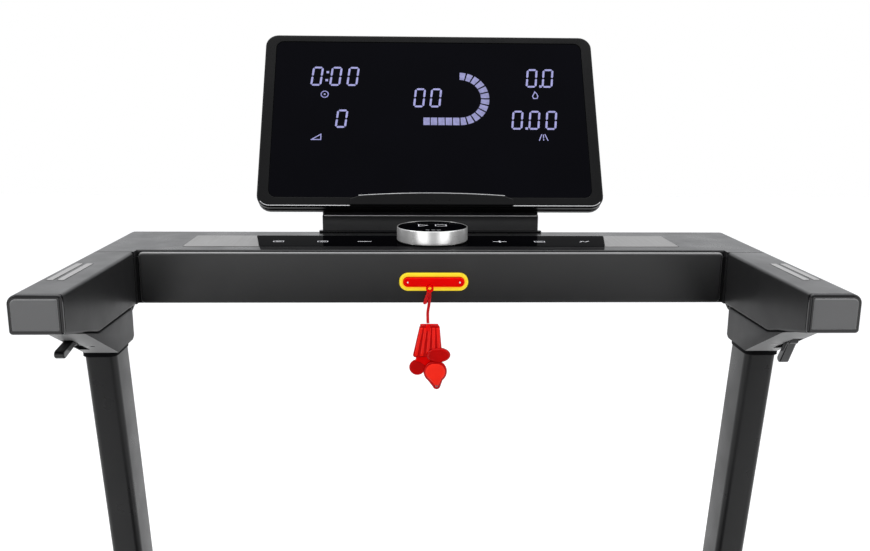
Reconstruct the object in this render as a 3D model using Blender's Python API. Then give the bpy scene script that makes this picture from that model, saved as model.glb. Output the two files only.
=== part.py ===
"""Folding treadmill, modelled as an assembly of separate pieces.

Metres, +Z up.  +Y points away from the user, +X to the user's right, and the origin lies on the
floor under the middle of the machine.  The console head folds on the uprights, and the uprights
fold down towards the user over the running deck.
"""
from math import acos, atan2, cos, hypot, pi, radians, sin, tan

import bmesh
import bpy
from mathutils import Matrix, Vector

# ---------------------------------------------------------------- driving dimensions
GAP = 0.0003                      # clearance kept between touching pieces

# head: two handrails joined by a crossbar
HEAD_Y = 0.22                     # front face of the crossbar
RAIL_TOP = 1.02                   # top of the handrails and the crossbar
RAIL_IN, RAIL_OUT = 0.3035, 0.3475
RAIL_LENGTH = 0.19
SEAM_Y = HEAD_Y - 0.003           # joint between a handrail and the crossbar
CROSSBAR_DEPTH = 0.125
CROSSBAR_BOTTOM = 0.9655
LID_BOTTOM = 1.0143               # underside of the crossbar's top cover
HEAD_PIVOT = (HEAD_Y - 0.008, 0.966)

# display, laid out in its own plane: u across, v up the face, n out of the face
DISPLAY_W, DISPLAY_H, DISPLAY_T = 0.396, 0.228, 0.019
DISPLAY_TILT = radians(31.7)      # backwards from vertical
DISPLAY_FOOT = (HEAD_Y + 0.105, 1.0516)
DISPLAY_CORNER = 0.015
GLASS_U, GLASS_LOW, GLASS_HIGH = 0.185, 0.012, 0.2185

# knob and keys on the crossbar
PANEL_HALF, PANEL_NEAR, PANEL_FAR = 0.262, HEAD_Y + 0.028, HEAD_Y + 0.094
PANEL_TOP = RAIL_TOP + 0.0005
KNOB_Y, KNOB_R = HEAD_Y + 0.0605, 0.0384
KNOB_BOTTOM, KNOB_TOP = 1.0210, 1.0367

# uprights
UPRIGHT_X, UPRIGHT_W, UPRIGHT_D, UPRIGHT_WALL = 0.3285, 0.031, 0.043, 0.002
UPRIGHT_CORNER = 0.0065
UPRIGHT_LEAN = tan(radians(8.0))
UPRIGHT_REF = (HEAD_Y - 0.0265, 0.92)      # a point on the upright's centre line
BASE_PIVOT = (0.300, 0.170)
UPRIGHT_FOOT, UPRIGHT_HEAD = 0.150, 0.950   # heights of its two ends
CHEEK_T = 0.003                   # steel of the fork at the foot of each upright
FORK_IN = UPRIGHT_X - UPRIGHT_W / 2 - CHEEK_T - 0.0005
FORK_OUT = UPRIGHT_X + UPRIGHT_W / 2 + CHEEK_T + 0.0005

# joint housing at the top of each upright: the sloped face under the handrail, and its release lever
RAIL_UNDERSIDE = ((HEAD_Y - 0.112, 0.9670), (HEAD_Y - 0.134, 0.9735), (HEAD_Y - 0.147, 0.9765))
SLOPE_LOW, SLOPE_HIGH = (HEAD_Y - 0.065, 0.9330), (HEAD_Y - 0.1465, 0.9758)
COLLAR_LOW, COLLAR_HIGH = 0.9245, 0.9340
KNUCKLE_IN, KNUCKLE_OUT, KNUCKLE_R = 0.3155, 0.3355, 0.0055
HINGE_PIN_R = 0.0028
LEVER_X, LEVER_W, LEVER_LENGTH = 0.330, 0.009, 0.028
LEVER_HUB_R, LEVER_TIP_R = 0.0050, 0.0028
LEVER_PIVOT = (HEAD_Y - 0.108, 0.9585)
LEFT_LEVER, RIGHT_LEVER = -81.0, 32.0      # degrees from straight down, positive away from the user

# grip sensors on the handrails
STRIP_XS, STRIP_W = (0.3250, 0.3345), 0.006
STRIP_NEAR, STRIP_FAR = HEAD_Y - 0.1340, HEAD_Y - 0.0630

# safety key, its lanyard and clip
KEY_Z = 0.9883
LANYARD_R = 0.0015
LANYARD_ROUTE = ((-0.0042, HEAD_Y - 0.0063, KEY_Z - 0.0101), (-0.0042, HEAD_Y - 0.0064, 0.9740),
                 (-0.0050, HEAD_Y - 0.0072, 0.9660), (-0.0062, HEAD_Y - 0.0084, 0.9580),
                 (-0.0062, HEAD_Y - 0.0098, 0.9510), (-0.0060, HEAD_Y - 0.0110, 0.9470))
CLIP_PIVOT = (HEAD_Y - 0.0100, 0.9180)
CLIP_FRONT, CLIP_MIDDLE, CLIP_BACK = HEAD_Y - 0.0150, HEAD_Y - 0.0112, HEAD_Y - 0.0080

# running deck and drive
DECK_END = 0.65                   # half the length of the machine
DECK_HALF = 0.298                 # half the width of the deck
FRAME_IN, FRAME_OUT, FRAME_LOW, FRAME_TOP = 0.255, 0.285, 0.046, 0.1035
BELT_TOP, BELT_T, BELT_HALF = 0.125, 0.002, 0.205
ROLLER_R = 0.0222
WRAP_STEPS = 12                   # flats in a belt's bend around a pulley
FLAT = 1 / cos(pi / WRAP_STEPS)   # lets those flats clear the round pulley
ROLLER_Z = BELT_TOP - BELT_T - (ROLLER_R + GAP) * FLAT
FRONT_ROLLER_Y, REAR_ROLLER_Y = 0.350, -0.585
COVER_NEAR = 0.305
PULLEY_R, MOTOR_PULLEY_R = 0.033, 0.013
MOTOR = (0.500, 0.115)            # y and z of the motor shaft
MOTOR_R = 0.038
LIFT_PIVOT = (0.400, 0.028)
LIFT_TUBE = (0.5025, 0.5275)      # near and far faces of the lift frame's cross tube
WHEEL = (0.575, 0.022)
WHEEL_R = 0.022
ACTUATOR = (0.100, 0.515)         # x and y of the screw actuator
SKIRT_Z = 0.048                   # lower edge of the side covers


# ---------------------------------------------------------------- helpers
def clear_scene():
    for item in list(bpy.data.objects):
        bpy.data.objects.remove(item, do_unlink=True)


def material(name, colour, roughness, metallic=0.0):
    result = bpy.data.materials.new(name)
    result.use_nodes = True
    shader = result.node_tree.nodes["Principled BSDF"]
    shader.inputs["Base Color"].default_value = (*colour, 1.0)
    shader.inputs["Roughness"].default_value = roughness
    shader.inputs["Metallic"].default_value = metallic
    return result


JOINT_PLACES = {}                 # world position of each joint's empty


def attach(child, parent):
    child.parent = parent
    child.matrix_parent_inverse = Matrix.Translation(-JOINT_PLACES[parent.name])


def joint_frame(name, location, parent=None):
    """An empty on a joint's axis, which carries the pieces that turn or slide with it."""
    empty = bpy.data.objects.new(name, None)
    bpy.context.scene.collection.objects.link(empty)
    empty.location = location
    JOINT_PLACES[name] = Vector(location)
    if parent:
        attach(empty, parent)
    return empty


def finish(name, bm, skin, parent, smooth=35.0):
    bmesh.ops.recalc_face_normals(bm, faces=bm.faces)
    mesh = bpy.data.meshes.new(name)
    bm.to_mesh(mesh)
    bm.free()
    mesh.materials.append(skin)
    mesh.shade_smooth()
    mesh.set_sharp_from_angle(angle=radians(smooth))
    piece = bpy.data.objects.new(name, mesh)
    bpy.context.scene.collection.objects.link(piece)
    if parent:
        attach(piece, parent)
    return piece


def lift_points(outline, axis, level):
    """Places 2-D outline points at a level of the axis that they are extruded along."""
    if axis == "X":
        return [(level, a, b) for a, b in outline]
    if axis == "Y":
        return [(a, level, b) for a, b in outline]
    return [(a, b, level) for a, b in outline]


def add_ring_walls(bm, low, high):
    count = len(low)
    for i in range(count):
        j = (i + 1) % count
        bm.faces.new((low[i], low[j], high[j], high[i]))


def prism_mesh(outline, axis, low, high):
    bm = bmesh.new()
    bottom = [bm.verts.new(p) for p in lift_points(outline, axis, low)]
    top = [bm.verts.new(p) for p in lift_points(outline, axis, high)]
    add_ring_walls(bm, bottom, top)
    bm.faces.new(bottom)
    bm.faces.new(top)
    return bm


def prism(name, outline, axis, low, high, skin, parent):
    return finish(name, prism_mesh(outline, axis, low, high), skin, parent)


def ring_prism(name, outer, inner, axis, low, high, skin, parent):
    """A tube: two outlines with the same number of points, extruded together."""
    bm = bmesh.new()
    loops = []
    for outline in (outer, inner):
        for level in (low, high):
            loops.append([bm.verts.new(p) for p in lift_points(outline, axis, level)])
    outer_low, outer_high, inner_low, inner_high = loops
    add_ring_walls(bm, outer_low, outer_high)
    add_ring_walls(bm, inner_low, inner_high)
    add_ring_walls(bm, outer_low, inner_low)
    add_ring_walls(bm, outer_high, inner_high)
    return finish(name, bm, skin, parent)


def box(name, low, high, skin, parent):
    outline = [(low[0], low[1]), (high[0], low[1]), (high[0], high[1]), (low[0], high[1])]
    return prism(name, outline, "Z", low[2], high[2], skin, parent)


def arc(centre, radius, start, end, steps):
    """Points on an arc, angles in degrees."""
    points = []
    for i in range(steps + 1):
        angle = radians(start + (end - start) * i / steps)
        points.append((centre[0] + radius * cos(angle), centre[1] + radius * sin(angle)))
    return points


def circle(centre, radius, steps):
    return arc(centre, radius, 0, 360.0 * (steps - 1) / steps, steps - 1)


def rounded_rectangle(low, high, radius, steps=3):
    left, right = low[0] + radius, high[0] - radius
    near, far = low[1] + radius, high[1] - radius
    points = arc((right, far), radius, 0, 90, steps) + arc((left, far), radius, 90, 180, steps)
    return points + arc((left, near), radius, 180, 270, steps) + arc((right, near), radius, 270, 360, steps)


def turned(name, profile, axis, centre, skin, parent, steps=24, closed_ring=False):
    """Turns (radius, position) points about an axis; a point with no radius becomes a pole."""
    bm = bmesh.new()
    rings = []
    for radius, along in profile:
        if radius == 0.0:
            rings.append([bm.verts.new(turned_point(axis, centre, 0.0, 0.0, along))])
            continue
        angles = [2 * pi * i / steps for i in range(steps)]
        rings.append([bm.verts.new(turned_point(axis, centre, radius, a, along)) for a in angles])
    pairs = list(zip(rings, rings[1:]))
    if closed_ring:
        pairs.append((rings[-1], rings[0]))
    for first, second in pairs:
        for i in range(steps):
            j = (i + 1) % steps
            if len(first) == 1:
                bm.faces.new((first[0], second[i], second[j]))
            elif len(second) == 1:
                bm.faces.new((first[i], first[j], second[0]))
            else:
                bm.faces.new((first[i], first[j], second[j], second[i]))
    return finish(name, bm, skin, parent)


def turned_point(axis, centre, radius, angle, along):
    a, b = radius * cos(angle), radius * sin(angle)
    if axis == "X":
        return (along, centre[0] + a, centre[1] + b)
    if axis == "Y":
        return (centre[0] + a, along, centre[1] + b)
    return (centre[0] + a, centre[1] + b, along)


def cylinder(name, radius, axis, centre, low, high, skin, parent, steps=24):
    return prism(name, circle(centre, radius, steps), axis, low, high, skin, parent)


def boolean(piece, tool, operation):
    """Cuts or joins with a second mesh, which stays in the file as a hidden construction guide."""
    tool.hide_render = True
    tool.display_type = "WIRE"
    modifier = piece.modifiers.new(operation.title(), "BOOLEAN")
    modifier.operation = operation
    modifier.solver = "EXACT"
    modifier.object = tool


def cut(piece, tool):
    boolean(piece, tool, "DIFFERENCE")


def join(piece, tool):
    boolean(piece, tool, "UNION")


def bevel(piece, width, segments=2, angle=40.0):
    modifier = piece.modifiers.new("Bevel", "BEVEL")
    modifier.width = width
    modifier.segments = segments
    modifier.limit_method = "ANGLE"
    modifier.angle_limit = radians(angle)


def mirrored(outline, side):
    """Flips an outline whose first coordinate is X onto the left or right side."""
    return [(side * a, b) for a, b in outline]


def span(side, inner, outer):
    """The low and high X of something that lies between two distances from the middle."""
    return (inner, outer) if side > 0 else (-outer, -inner)


def side_name(side):
    return "right" if side > 0 else "left"


def upright_centre(z):
    return UPRIGHT_REF[0] + (UPRIGHT_REF[1] - z) * UPRIGHT_LEAN


def belt_outline(first, first_r, second, second_r, steps=WRAP_STEPS):
    """A loop of belt around two pulleys; the first lies at the lower coordinate."""
    reach = hypot(second[0] - first[0], second[1] - first[1])
    heading = atan2(second[1] - first[1], second[0] - first[0]) * 180 / pi
    wrap = acos((first_r - second_r) / reach) * 180 / pi
    points = arc(second, second_r, heading - wrap, heading + wrap, steps)
    points += arc(first, first_r, heading + wrap, heading + 360 - wrap, steps)
    return points


# ---------------------------------------------------------------- materials
def make_materials():
    return {
        "rail_plastic": material("rail_plastic", (0.045, 0.046, 0.048), 0.42),
        "lid_plastic": material("lid_plastic", (0.060, 0.061, 0.064), 0.38),
        "bracket_plastic": material("bracket_plastic", (0.085, 0.086, 0.088), 0.45),
        "gloss_black": material("gloss_black", (0.008, 0.008, 0.010), 0.12),
        "panel_black": material("panel_black", (0.006, 0.006, 0.007), 0.10),
        "bezel_black": material("bezel_black", (0.012, 0.012, 0.013), 0.32),
        "glass_black": material("glass_black", (0.006, 0.008, 0.014), 0.06),
        "silver": material("silver", (0.42, 0.42, 0.43), 0.28, 1.0),
        "knob_metal": material("knob_metal", (0.52, 0.53, 0.55), 0.25, 1.0),
        "upright_paint": material("upright_paint", (0.030, 0.030, 0.032), 0.38, 0.2),
        "frame_paint": material("frame_paint", (0.022, 0.022, 0.024), 0.45, 0.2),
        "steel": material("steel", (0.45, 0.45, 0.46), 0.32, 1.0),
        "cast_iron": material("cast_iron", (0.14, 0.14, 0.15), 0.40, 1.0),
        "controller_aluminium": material("controller_aluminium", (0.30, 0.30, 0.31), 0.38, 1.0),
        "deck_board": material("deck_board", (0.16, 0.11, 0.07), 0.60),
        "belt_rubber": material("belt_rubber", (0.016, 0.016, 0.017), 0.75),
        "rubber": material("rubber", (0.012, 0.012, 0.012), 0.80),
        "cover_plastic": material("cover_plastic", (0.040, 0.041, 0.043), 0.45),
        "board_green": material("board_green", (0.020, 0.110, 0.045), 0.50),
        "key_yellow": material("key_yellow", (1.0, 0.68, 0.02), 0.35),
        "key_red": material("key_red", (0.75, 0.006, 0.004), 0.22),
        "cord_red": material("cord_red", (0.65, 0.008, 0.006), 0.60),
    }


# ---------------------------------------------------------------- base
def frame_tube(name, outer_low, outer_high, wall, axis, low, high, skin, parent):
    """A length of rectangular steel tube, open at both ends."""
    outer = rounded_rectangle(outer_low, outer_high, 0.004, 2)
    inner_low = (outer_low[0] + wall, outer_low[1] + wall)
    inner_high = (outer_high[0] - wall, outer_high[1] - wall)
    inner = rounded_rectangle(inner_low, inner_high, 0.002, 2)
    return ring_prism(name, outer, inner, axis, low, high, skin, parent)


def build_frame(skins, base):
    wall = 0.002
    for side in (-1, 1):
        low, high = span(side, FRAME_IN, FRAME_OUT)
        frame_tube("frame_rail_" + side_name(side), (low, FRAME_LOW), (high, FRAME_TOP), wall,
                   "Y", -0.62, 0.625, skins["frame_paint"], base)
    reach = FRAME_IN - GAP
    front_low, front_high = (0.600, FRAME_LOW), (0.625, 0.076)
    frame_tube("frame_crossmember_front", front_low, front_high, wall, "X", -reach, reach,
               skins["frame_paint"], base)
    rear_low, rear_high = (-0.34, 0.0795), (-0.30, 0.1035)
    frame_tube("frame_crossmember_rear", rear_low, rear_high, wall, "X", -reach, reach,
               skins["frame_paint"], base)
    tube_reach = FORK_IN - GAP
    frame_tube("upright_cross_tube", (0.280, 0.016), (0.320, FRAME_LOW - GAP), wall, "X",
               -tube_reach, tube_reach, skins["frame_paint"], base)


def build_base_bracket(side, skins, base):
    """A steel fork on the end of the cross tube: two cheeks, a floor, a stop and the fold pin."""
    low, high = span(side, FORK_IN, FORK_OUT)
    inner_low, inner_high = span(side, FORK_IN, FORK_IN + CHEEK_T)
    outer_low, outer_high = span(side, FORK_OUT - CHEEK_T, FORK_OUT)
    cheek = [(0.275, 0.014), (0.325, 0.014), (0.331, 0.150), (0.331, 0.215)]
    cheek += arc((0.304, 0.215), 0.012, 60, 120, 4)
    cheek += [(0.278, 0.165)]
    skin = skins["frame_paint"]
    bracket = prism("base_bracket_" + side_name(side), cheek, "X", inner_low, inner_high, skin, base)
    join(bracket, prism("guide_cheek", cheek, "X", outer_low, outer_high, skin, base))
    join(bracket, box("guide_floor", (low, 0.275, 0.014), (high, 0.325, 0.020), skin, base))
    stop_near, stop_low, stop_high = upright_centre(0.2045) + UPRIGHT_D / 2 + GAP, 0.2045, 0.215
    stop = [(stop_near, stop_low), (0.331, stop_low), (0.331, stop_high), (stop_near, stop_high)]
    join(bracket, prism("guide_stop", stop, "X", low, high, skin, base))
    join(bracket, cylinder("guide_pin", 0.006, "X", BASE_PIVOT, low - 0.002, high + 0.002, skin, base, 20))
    return bracket


def build_deck(skins, base):
    box("running_board", (-0.280, -0.555, FRAME_TOP + GAP), (0.280, 0.300, BELT_TOP - BELT_T - GAP),
        skins["deck_board"], base)
    first, second = (REAR_ROLLER_Y, ROLLER_Z), (FRONT_ROLLER_Y, ROLLER_Z)
    inner_r = (ROLLER_R + GAP) * FLAT
    outer = belt_outline(first, inner_r + BELT_T, second, inner_r + BELT_T)
    inner = belt_outline(first, inner_r, second, inner_r)
    ring_prism("running_belt", outer, inner, "X", -BELT_HALF, BELT_HALF, skins["belt_rubber"], base)
    for side in (-1, 1):
        build_foot_rail(side, skins, base)
        build_rear_cap(side, skins, base)
        build_rear_foot(side, skins, base)


def build_foot_rail(side, skins, base):
    """An angle of plastic that covers the edge of the board and the side of the frame."""
    under, seat = 0.1278, BELT_TOP - BELT_T
    outline = [(0.200, under), (0.200, 0.1310), (0.204, 0.1320)]
    outline += arc((DECK_HALF - 0.006, 0.1260), 0.006, 90, 0, 3)
    outline += [(DECK_HALF, SKIRT_Z), (DECK_HALF - 0.004, SKIRT_Z), (DECK_HALF - 0.004, under)]
    outline += [(0.280, under), (0.278, seat), (0.212, seat), (0.210, under)]
    prism("foot_rail_" + side_name(side), mirrored(outline, side), "Y", -0.600, COVER_NEAR - GAP,
          skins["cover_plastic"], base)


def build_rear_cap(side, skins, base):
    """A moulded cap over the end of the frame, the roller's axle and its adjusting screw."""
    low, high = span(side, 0.213, DECK_HALF)
    outline = [(-0.6003, 0.030), (-0.6003, 0.132), (-0.640, 0.132)]
    outline += arc((-0.640, 0.122), 0.010, 90, 180, 3)
    outline += [(-0.650, 0.040), (-0.640, 0.030)]
    skin = skins["cover_plastic"]
    cap = prism("rear_cap_" + side_name(side), outline, "X", low, high, skin, base)
    bevel(cap, 0.003)
    inner_low, inner_high = span(side, 0.217, DECK_HALF - 0.004)
    cut(cap, box("guide_cap_pocket", (inner_low, -0.636, 0.034), (inner_high, -0.590, 0.126), skin, base))


def build_rear_foot(side, skins, base):
    centre = (side * 0.270, -0.540)
    top = FRAME_LOW - GAP
    profile = [(0.0, 0.0), (0.021, 0.0), (0.023, 0.003), (0.022, 0.016), (0.010, 0.020), (0.010, top)]
    profile.append((0.0, top))
    turned("rear_foot_" + side_name(side), profile, "Z", centre, skins["rubber"], base, 20)


def build_rollers(skins, base):
    """Two rollers on fixed axles; the front one carries the pulley that the motor drives."""
    bore = 0.0062
    front = joint_frame("front_roller_axis", (0, FRONT_ROLLER_Y, ROLLER_Z), base)
    rear = joint_frame("rear_roller_axis", (0, REAR_ROLLER_Y, ROLLER_Z), base)
    profile = [(bore, 0.212), (ROLLER_R, 0.212), (ROLLER_R, -0.212), (0.014, -0.214), (0.014, -0.220),
               (PULLEY_R + 0.003, -0.220), (PULLEY_R + 0.003, -0.222), (PULLEY_R, -0.222),
               (PULLEY_R, -0.236), (PULLEY_R + 0.003, -0.236), (PULLEY_R + 0.003, -0.238), (bore, -0.238)]
    turned("front_roller", profile, "X", (FRONT_ROLLER_Y, ROLLER_Z), skins["steel"], front, 24, True)
    plain = [(bore, 0.212), (ROLLER_R, 0.212), (ROLLER_R, -0.212), (bore, -0.212)]
    turned("rear_roller", plain, "X", (REAR_ROLLER_Y, ROLLER_Z), skins["steel"], rear, 24, True)
    reach = FRAME_IN - GAP
    for name, y in (("front_axle", FRONT_ROLLER_Y), ("rear_axle", REAR_ROLLER_Y)):
        cylinder(name, 0.006, "X", (y, ROLLER_Z), -reach, reach, skins["steel"], base, 16)


def build_drive(skins, base):
    rotor = joint_frame("motor_axis", (0, *MOTOR), base)
    shaft = 0.0052
    can = [(0.0085, -0.105), (MOTOR_R - 0.004, -0.105), (MOTOR_R, -0.101), (MOTOR_R, 0.051),
           (MOTOR_R - 0.004, 0.055), (0.0085, 0.055)]
    turned("drive_motor", can, "X", MOTOR, skins["cast_iron"], base, 24, True)
    flywheel = [(0.0, -0.238), (MOTOR_PULLEY_R + 0.002, -0.238), (MOTOR_PULLEY_R + 0.002, -0.236),
                (MOTOR_PULLEY_R, -0.236), (MOTOR_PULLEY_R, -0.222), (MOTOR_PULLEY_R + 0.002, -0.222),
                (MOTOR_PULLEY_R + 0.002, -0.205), (0.045, -0.205), (0.045, -0.180),
                (shaft, -0.180), (shaft, 0.050), (0.0, 0.050)]
    turned("motor_flywheel", flywheel, "X", MOTOR, skins["steel"], rotor, 24)
    first, second = (FRONT_ROLLER_Y, ROLLER_Z), MOTOR
    thick = 0.0025
    large, small = (PULLEY_R + GAP) * FLAT, (MOTOR_PULLEY_R + GAP) * FLAT
    outer = belt_outline(first, large + thick, second, small + thick)
    inner = belt_outline(first, large, second, small)
    ring_prism("drive_belt", outer, inner, "X", -0.2355, -0.2225, skins["rubber"], base)
    build_motor_pan(skins, base)
    build_controller(skins, base)


def build_motor_pan(skins, base):
    """A steel tray between the frame rails: a saddle for the motor, and lugs for the lift frame."""
    reach = FRAME_IN - GAP
    skin = skins["frame_paint"]
    pan = box("motor_pan", (-reach, 0.388, 0.0600), (reach, 0.5995, 0.0625), skin, base)
    saddle = [(MOTOR[0] - 0.034, 0.061), (MOTOR[0] + 0.034, 0.061), (MOTOR[0] + 0.034, 0.095)]
    saddle += arc(MOTOR, MOTOR_R + GAP, -35, -145, 8)
    saddle += [(MOTOR[0] - 0.034, 0.095)]
    join(pan, prism("guide_saddle", saddle, "X", -0.080, 0.030, skin, base))
    for side in (-1, 1):
        low, high = span(side, 0.2145, 0.2205)
        lug = [(LIFT_PIVOT[0] - 0.012, 0.061), (LIFT_PIVOT[0] + 0.012, 0.061)]
        lug += arc(LIFT_PIVOT, 0.0120, 0, -180, 8)
        join(pan, prism("guide_lift_lug", lug, "X", low, high, skin, base))
        hole_low, hole_high = span(side, 0.2100, 0.2250)
        cut(pan, cylinder("guide_lug_hole", 0.0063, "X", LIFT_PIVOT, hole_low, hole_high, skin, base, 16))
    cut(pan, cylinder("guide_rod_hole", 0.010, "Z", ACTUATOR, 0.050, 0.070, skin, base, 20))


def build_controller(skins, base):
    """The motor controller: a sealed block with a finned heat sink on top."""
    low, high, fins = 0.145, 0.225, 7
    pitch = (high - low) / (2 * fins - 1)
    outline = [(low, 0.0628), (high, 0.0628)]
    for i in range(fins):
        right = high - 2 * i * pitch
        outline += [(right, 0.118), (right - pitch, 0.118)]
        if i < fins - 1:
            outline += [(right - pitch, 0.098), (right - 2 * pitch, 0.098)]
    prism("motor_controller", outline, "Y", 0.430, 0.575, skins["controller_aluminium"], base)


def build_motor_cover(skins, base):
    """The hood over the drive, open below, with a sloped near face."""
    near, far = COVER_NEAR, DECK_END
    outline = [(near, SKIRT_Z), (near, 0.133), (0.322, 0.141)]
    outline += arc((0.440, 0.165), 0.040, 120, 90, 3)
    outline += arc((far - 0.060, 0.145), 0.060, 90, 0, 6)
    outline += [(far, SKIRT_Z)]
    skin = skins["cover_plastic"]
    cover = prism("motor_cover", outline, "X", -DECK_HALF, DECK_HALF, skin, base)
    bevel(cover, 0.006, 2, 50.0)
    wall = 0.003
    inside = [(near - 0.010, 0.030), (near - 0.010, 0.1325), (near, 0.1300), (0.324, 0.1378)]
    inside += arc((0.440, 0.165), 0.040 - wall, 120, 90, 3)
    inside += arc((far - 0.060, 0.145), 0.060 - wall, 90, 0, 6)
    inside += [(far - wall, 0.030)]
    hollow = prism("guide_hood_hollow", inside, "X", -DECK_HALF + wall, DECK_HALF - wall, skin, base)
    cut(cover, hollow)
    inlet_low, inlet_high = (-0.2255, far - 0.010, 0.0645), (-0.1745, far + 0.010, 0.0915)
    cut(cover, box("guide_inlet_hole", inlet_low, inlet_high, skin, base))
    inlet = box("power_inlet", (-0.2250, far - 0.024, 0.0650), (-0.1750, far - 0.0003, 0.0910),
                skins["gloss_black"], base)
    cut(inlet, box("guide_inlet_socket", (-0.2130, far - 0.016, 0.0700), (-0.1870, far + 0.010, 0.0860),
                   skin, base))
    cut(inlet, box("guide_switch_well", (-0.1860, far - 0.020, 0.0680), (-0.1770, far + 0.010, 0.0880),
                   skin, base))
    build_switch(skins, base)


def build_switch(skins, base):
    """A rocker that tips about its middle in the well beside the inlet."""
    pivot_y, z = DECK_END - 0.0080, 0.0780
    axis = joint_frame("power_switch_axis", (-0.1815, pivot_y, z), base)
    tip = radians(8)
    outline = [(pivot_y - 0.002, z - 0.0015), (pivot_y + 0.0075 * cos(tip), z - 0.0085),
               (pivot_y + 0.0050, z), (pivot_y + 0.0062, z + 0.0085), (pivot_y - 0.002, z + 0.0015)]
    prism("power_switch", outline, "X", -0.1855, -0.1775, skins["key_red"], axis)


def build_incline(skins, base):
    """The front rides on a lift frame, pushed down by a screw actuator to raise the deck."""
    lift = joint_frame("lift_axis", (0, *LIFT_PIVOT), base)
    skin = skins["frame_paint"]
    arm = rounded_rectangle((LIFT_PIVOT[0] - 0.012, 0.014), (WHEEL[0] + 0.012, 0.040), 0.012, 3)
    frame = prism("lift_frame", arm, "X", -0.208, -0.190, skin, lift)
    join(frame, prism("guide_arm", arm, "X", 0.190, 0.208, skin, lift))
    tube_low, tube_high = (-0.199, LIFT_TUBE[0], 0.0160), (0.199, LIFT_TUBE[1], 0.0380)
    join(frame, box("guide_lift_tube", tube_low, tube_high, skin, lift))
    for side in (-1, 1):
        low, high = span(side, 0.199, 0.2440)
        join(frame, cylinder("guide_axle", 0.0045, "X", WHEEL, low, high, skin, lift, 14))
        pin_low, pin_high = span(side, 0.199, 0.2240)
        join(frame, cylinder("guide_pivot_pin", 0.0060, "X", LIFT_PIVOT, pin_low, pin_high, skin, lift, 14))
        wheel = joint_frame("wheel_axis_" + side_name(side), (side * 0.226, *WHEEL), lift)
        tyre = [(0.0048, 0.2090), (0.010, 0.2090), (0.011, 0.2120), (0.020, 0.2130), (WHEEL_R, 0.2155),
                (WHEEL_R, 0.2365), (0.020, 0.2390), (0.011, 0.2400), (0.010, 0.2430), (0.0048, 0.2430)]
        turned("transport_wheel_" + side_name(side), [(r, side * x) for r, x in tyre], "X", WHEEL,
               skins["rubber"], wheel, 24, True)
    rod_axis = joint_frame("actuator_rod_axis", (*ACTUATOR, 0.060), base)
    body = [(0.0083, 0.0628), (0.018, 0.0628), (0.018, 0.150), (0.024, 0.153), (0.024, 0.180)]
    body.append((0.0083, 0.180))
    turned("incline_actuator", body, "Z", ACTUATOR, skins["cast_iron"], base, 20, True)
    rod = [(0.0, 0.0386), (0.0085, 0.0386), (0.0085, 0.0425), (0.0080, 0.0440), (0.0080, 0.170)]
    rod.append((0.0, 0.170))
    turned("actuator_rod", rod, "Z", ACTUATOR, skins["steel"], rod_axis, 16)


def build_lock_knob(side, skins, base):
    """A hand knob that clamps the upright in its fork."""
    z = 0.198
    y = upright_centre(z)
    foot = FORK_OUT + 0.0005
    axis = joint_frame("lock_knob_axis_" + side_name(side), (side * foot, y, z), base)
    profile = [(0.0, 0.0), (0.009, 0.0), (0.009, 0.0060), (0.016, 0.0075), (0.018, 0.0100),
               (0.018, 0.0180), (0.015, 0.0205), (0.0, 0.0210)]
    knob = turned("lock_knob_" + side_name(side), [(r, side * (foot + x)) for r, x in profile], "X", (y, z),
                  skins["gloss_black"], axis, 20)
    for i in range(5):
        angle = 2 * pi * i / 5
        centre = (y + 0.0215 * cos(angle), z + 0.0215 * sin(angle))
        low, high = span(side, foot + 0.0065, foot + 0.0240)
        cut(knob, cylinder("guide_grip", 0.0060, "X", centre, low, high, skins["gloss_black"], axis, 12))


def build_base(skins):
    base = joint_frame("base", (0, 0, 0))
    build_frame(skins, base)
    build_deck(skins, base)
    build_rollers(skins, base)
    build_drive(skins, base)
    build_motor_cover(skins, base)
    build_incline(skins, base)
    for side in (-1, 1):
        build_base_bracket(side, skins, base)
        build_lock_knob(side, skins, base)
    return base


# ---------------------------------------------------------------- uprights
def build_upright(side, skins, uprights):
    """A leaning steel tube, bored across its foot for the fold pin."""
    low, high = UPRIGHT_X - UPRIGHT_W / 2, UPRIGHT_X + UPRIGHT_W / 2
    bm = bmesh.new()
    loops = []
    for inset, radius in ((0.0, UPRIGHT_CORNER), (UPRIGHT_WALL, UPRIGHT_CORNER - UPRIGHT_WALL)):
        for z in (UPRIGHT_FOOT, UPRIGHT_HEAD):
            y = upright_centre(z)
            half = UPRIGHT_D / 2 - inset
            outline = rounded_rectangle((low + inset, y - half), (high - inset, y + half), radius)
            loops.append([bm.verts.new((side * a, b, z)) for a, b in outline])
    outer_low, outer_high, inner_low, inner_high = loops
    add_ring_walls(bm, outer_low, outer_high)
    add_ring_walls(bm, inner_low, inner_high)
    add_ring_walls(bm, outer_low, inner_low)
    add_ring_walls(bm, outer_high, inner_high)
    tube = finish("upright_" + side_name(side), bm, skins["upright_paint"], uprights)
    bore_low, bore_high = span(side, low - 0.002, high + 0.002)
    bore = cylinder("guide_pin_bore", 0.0065, "X", BASE_PIVOT, bore_low, bore_high,
                    skins["upright_paint"], uprights, 20)
    cut(tube, bore)


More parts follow.
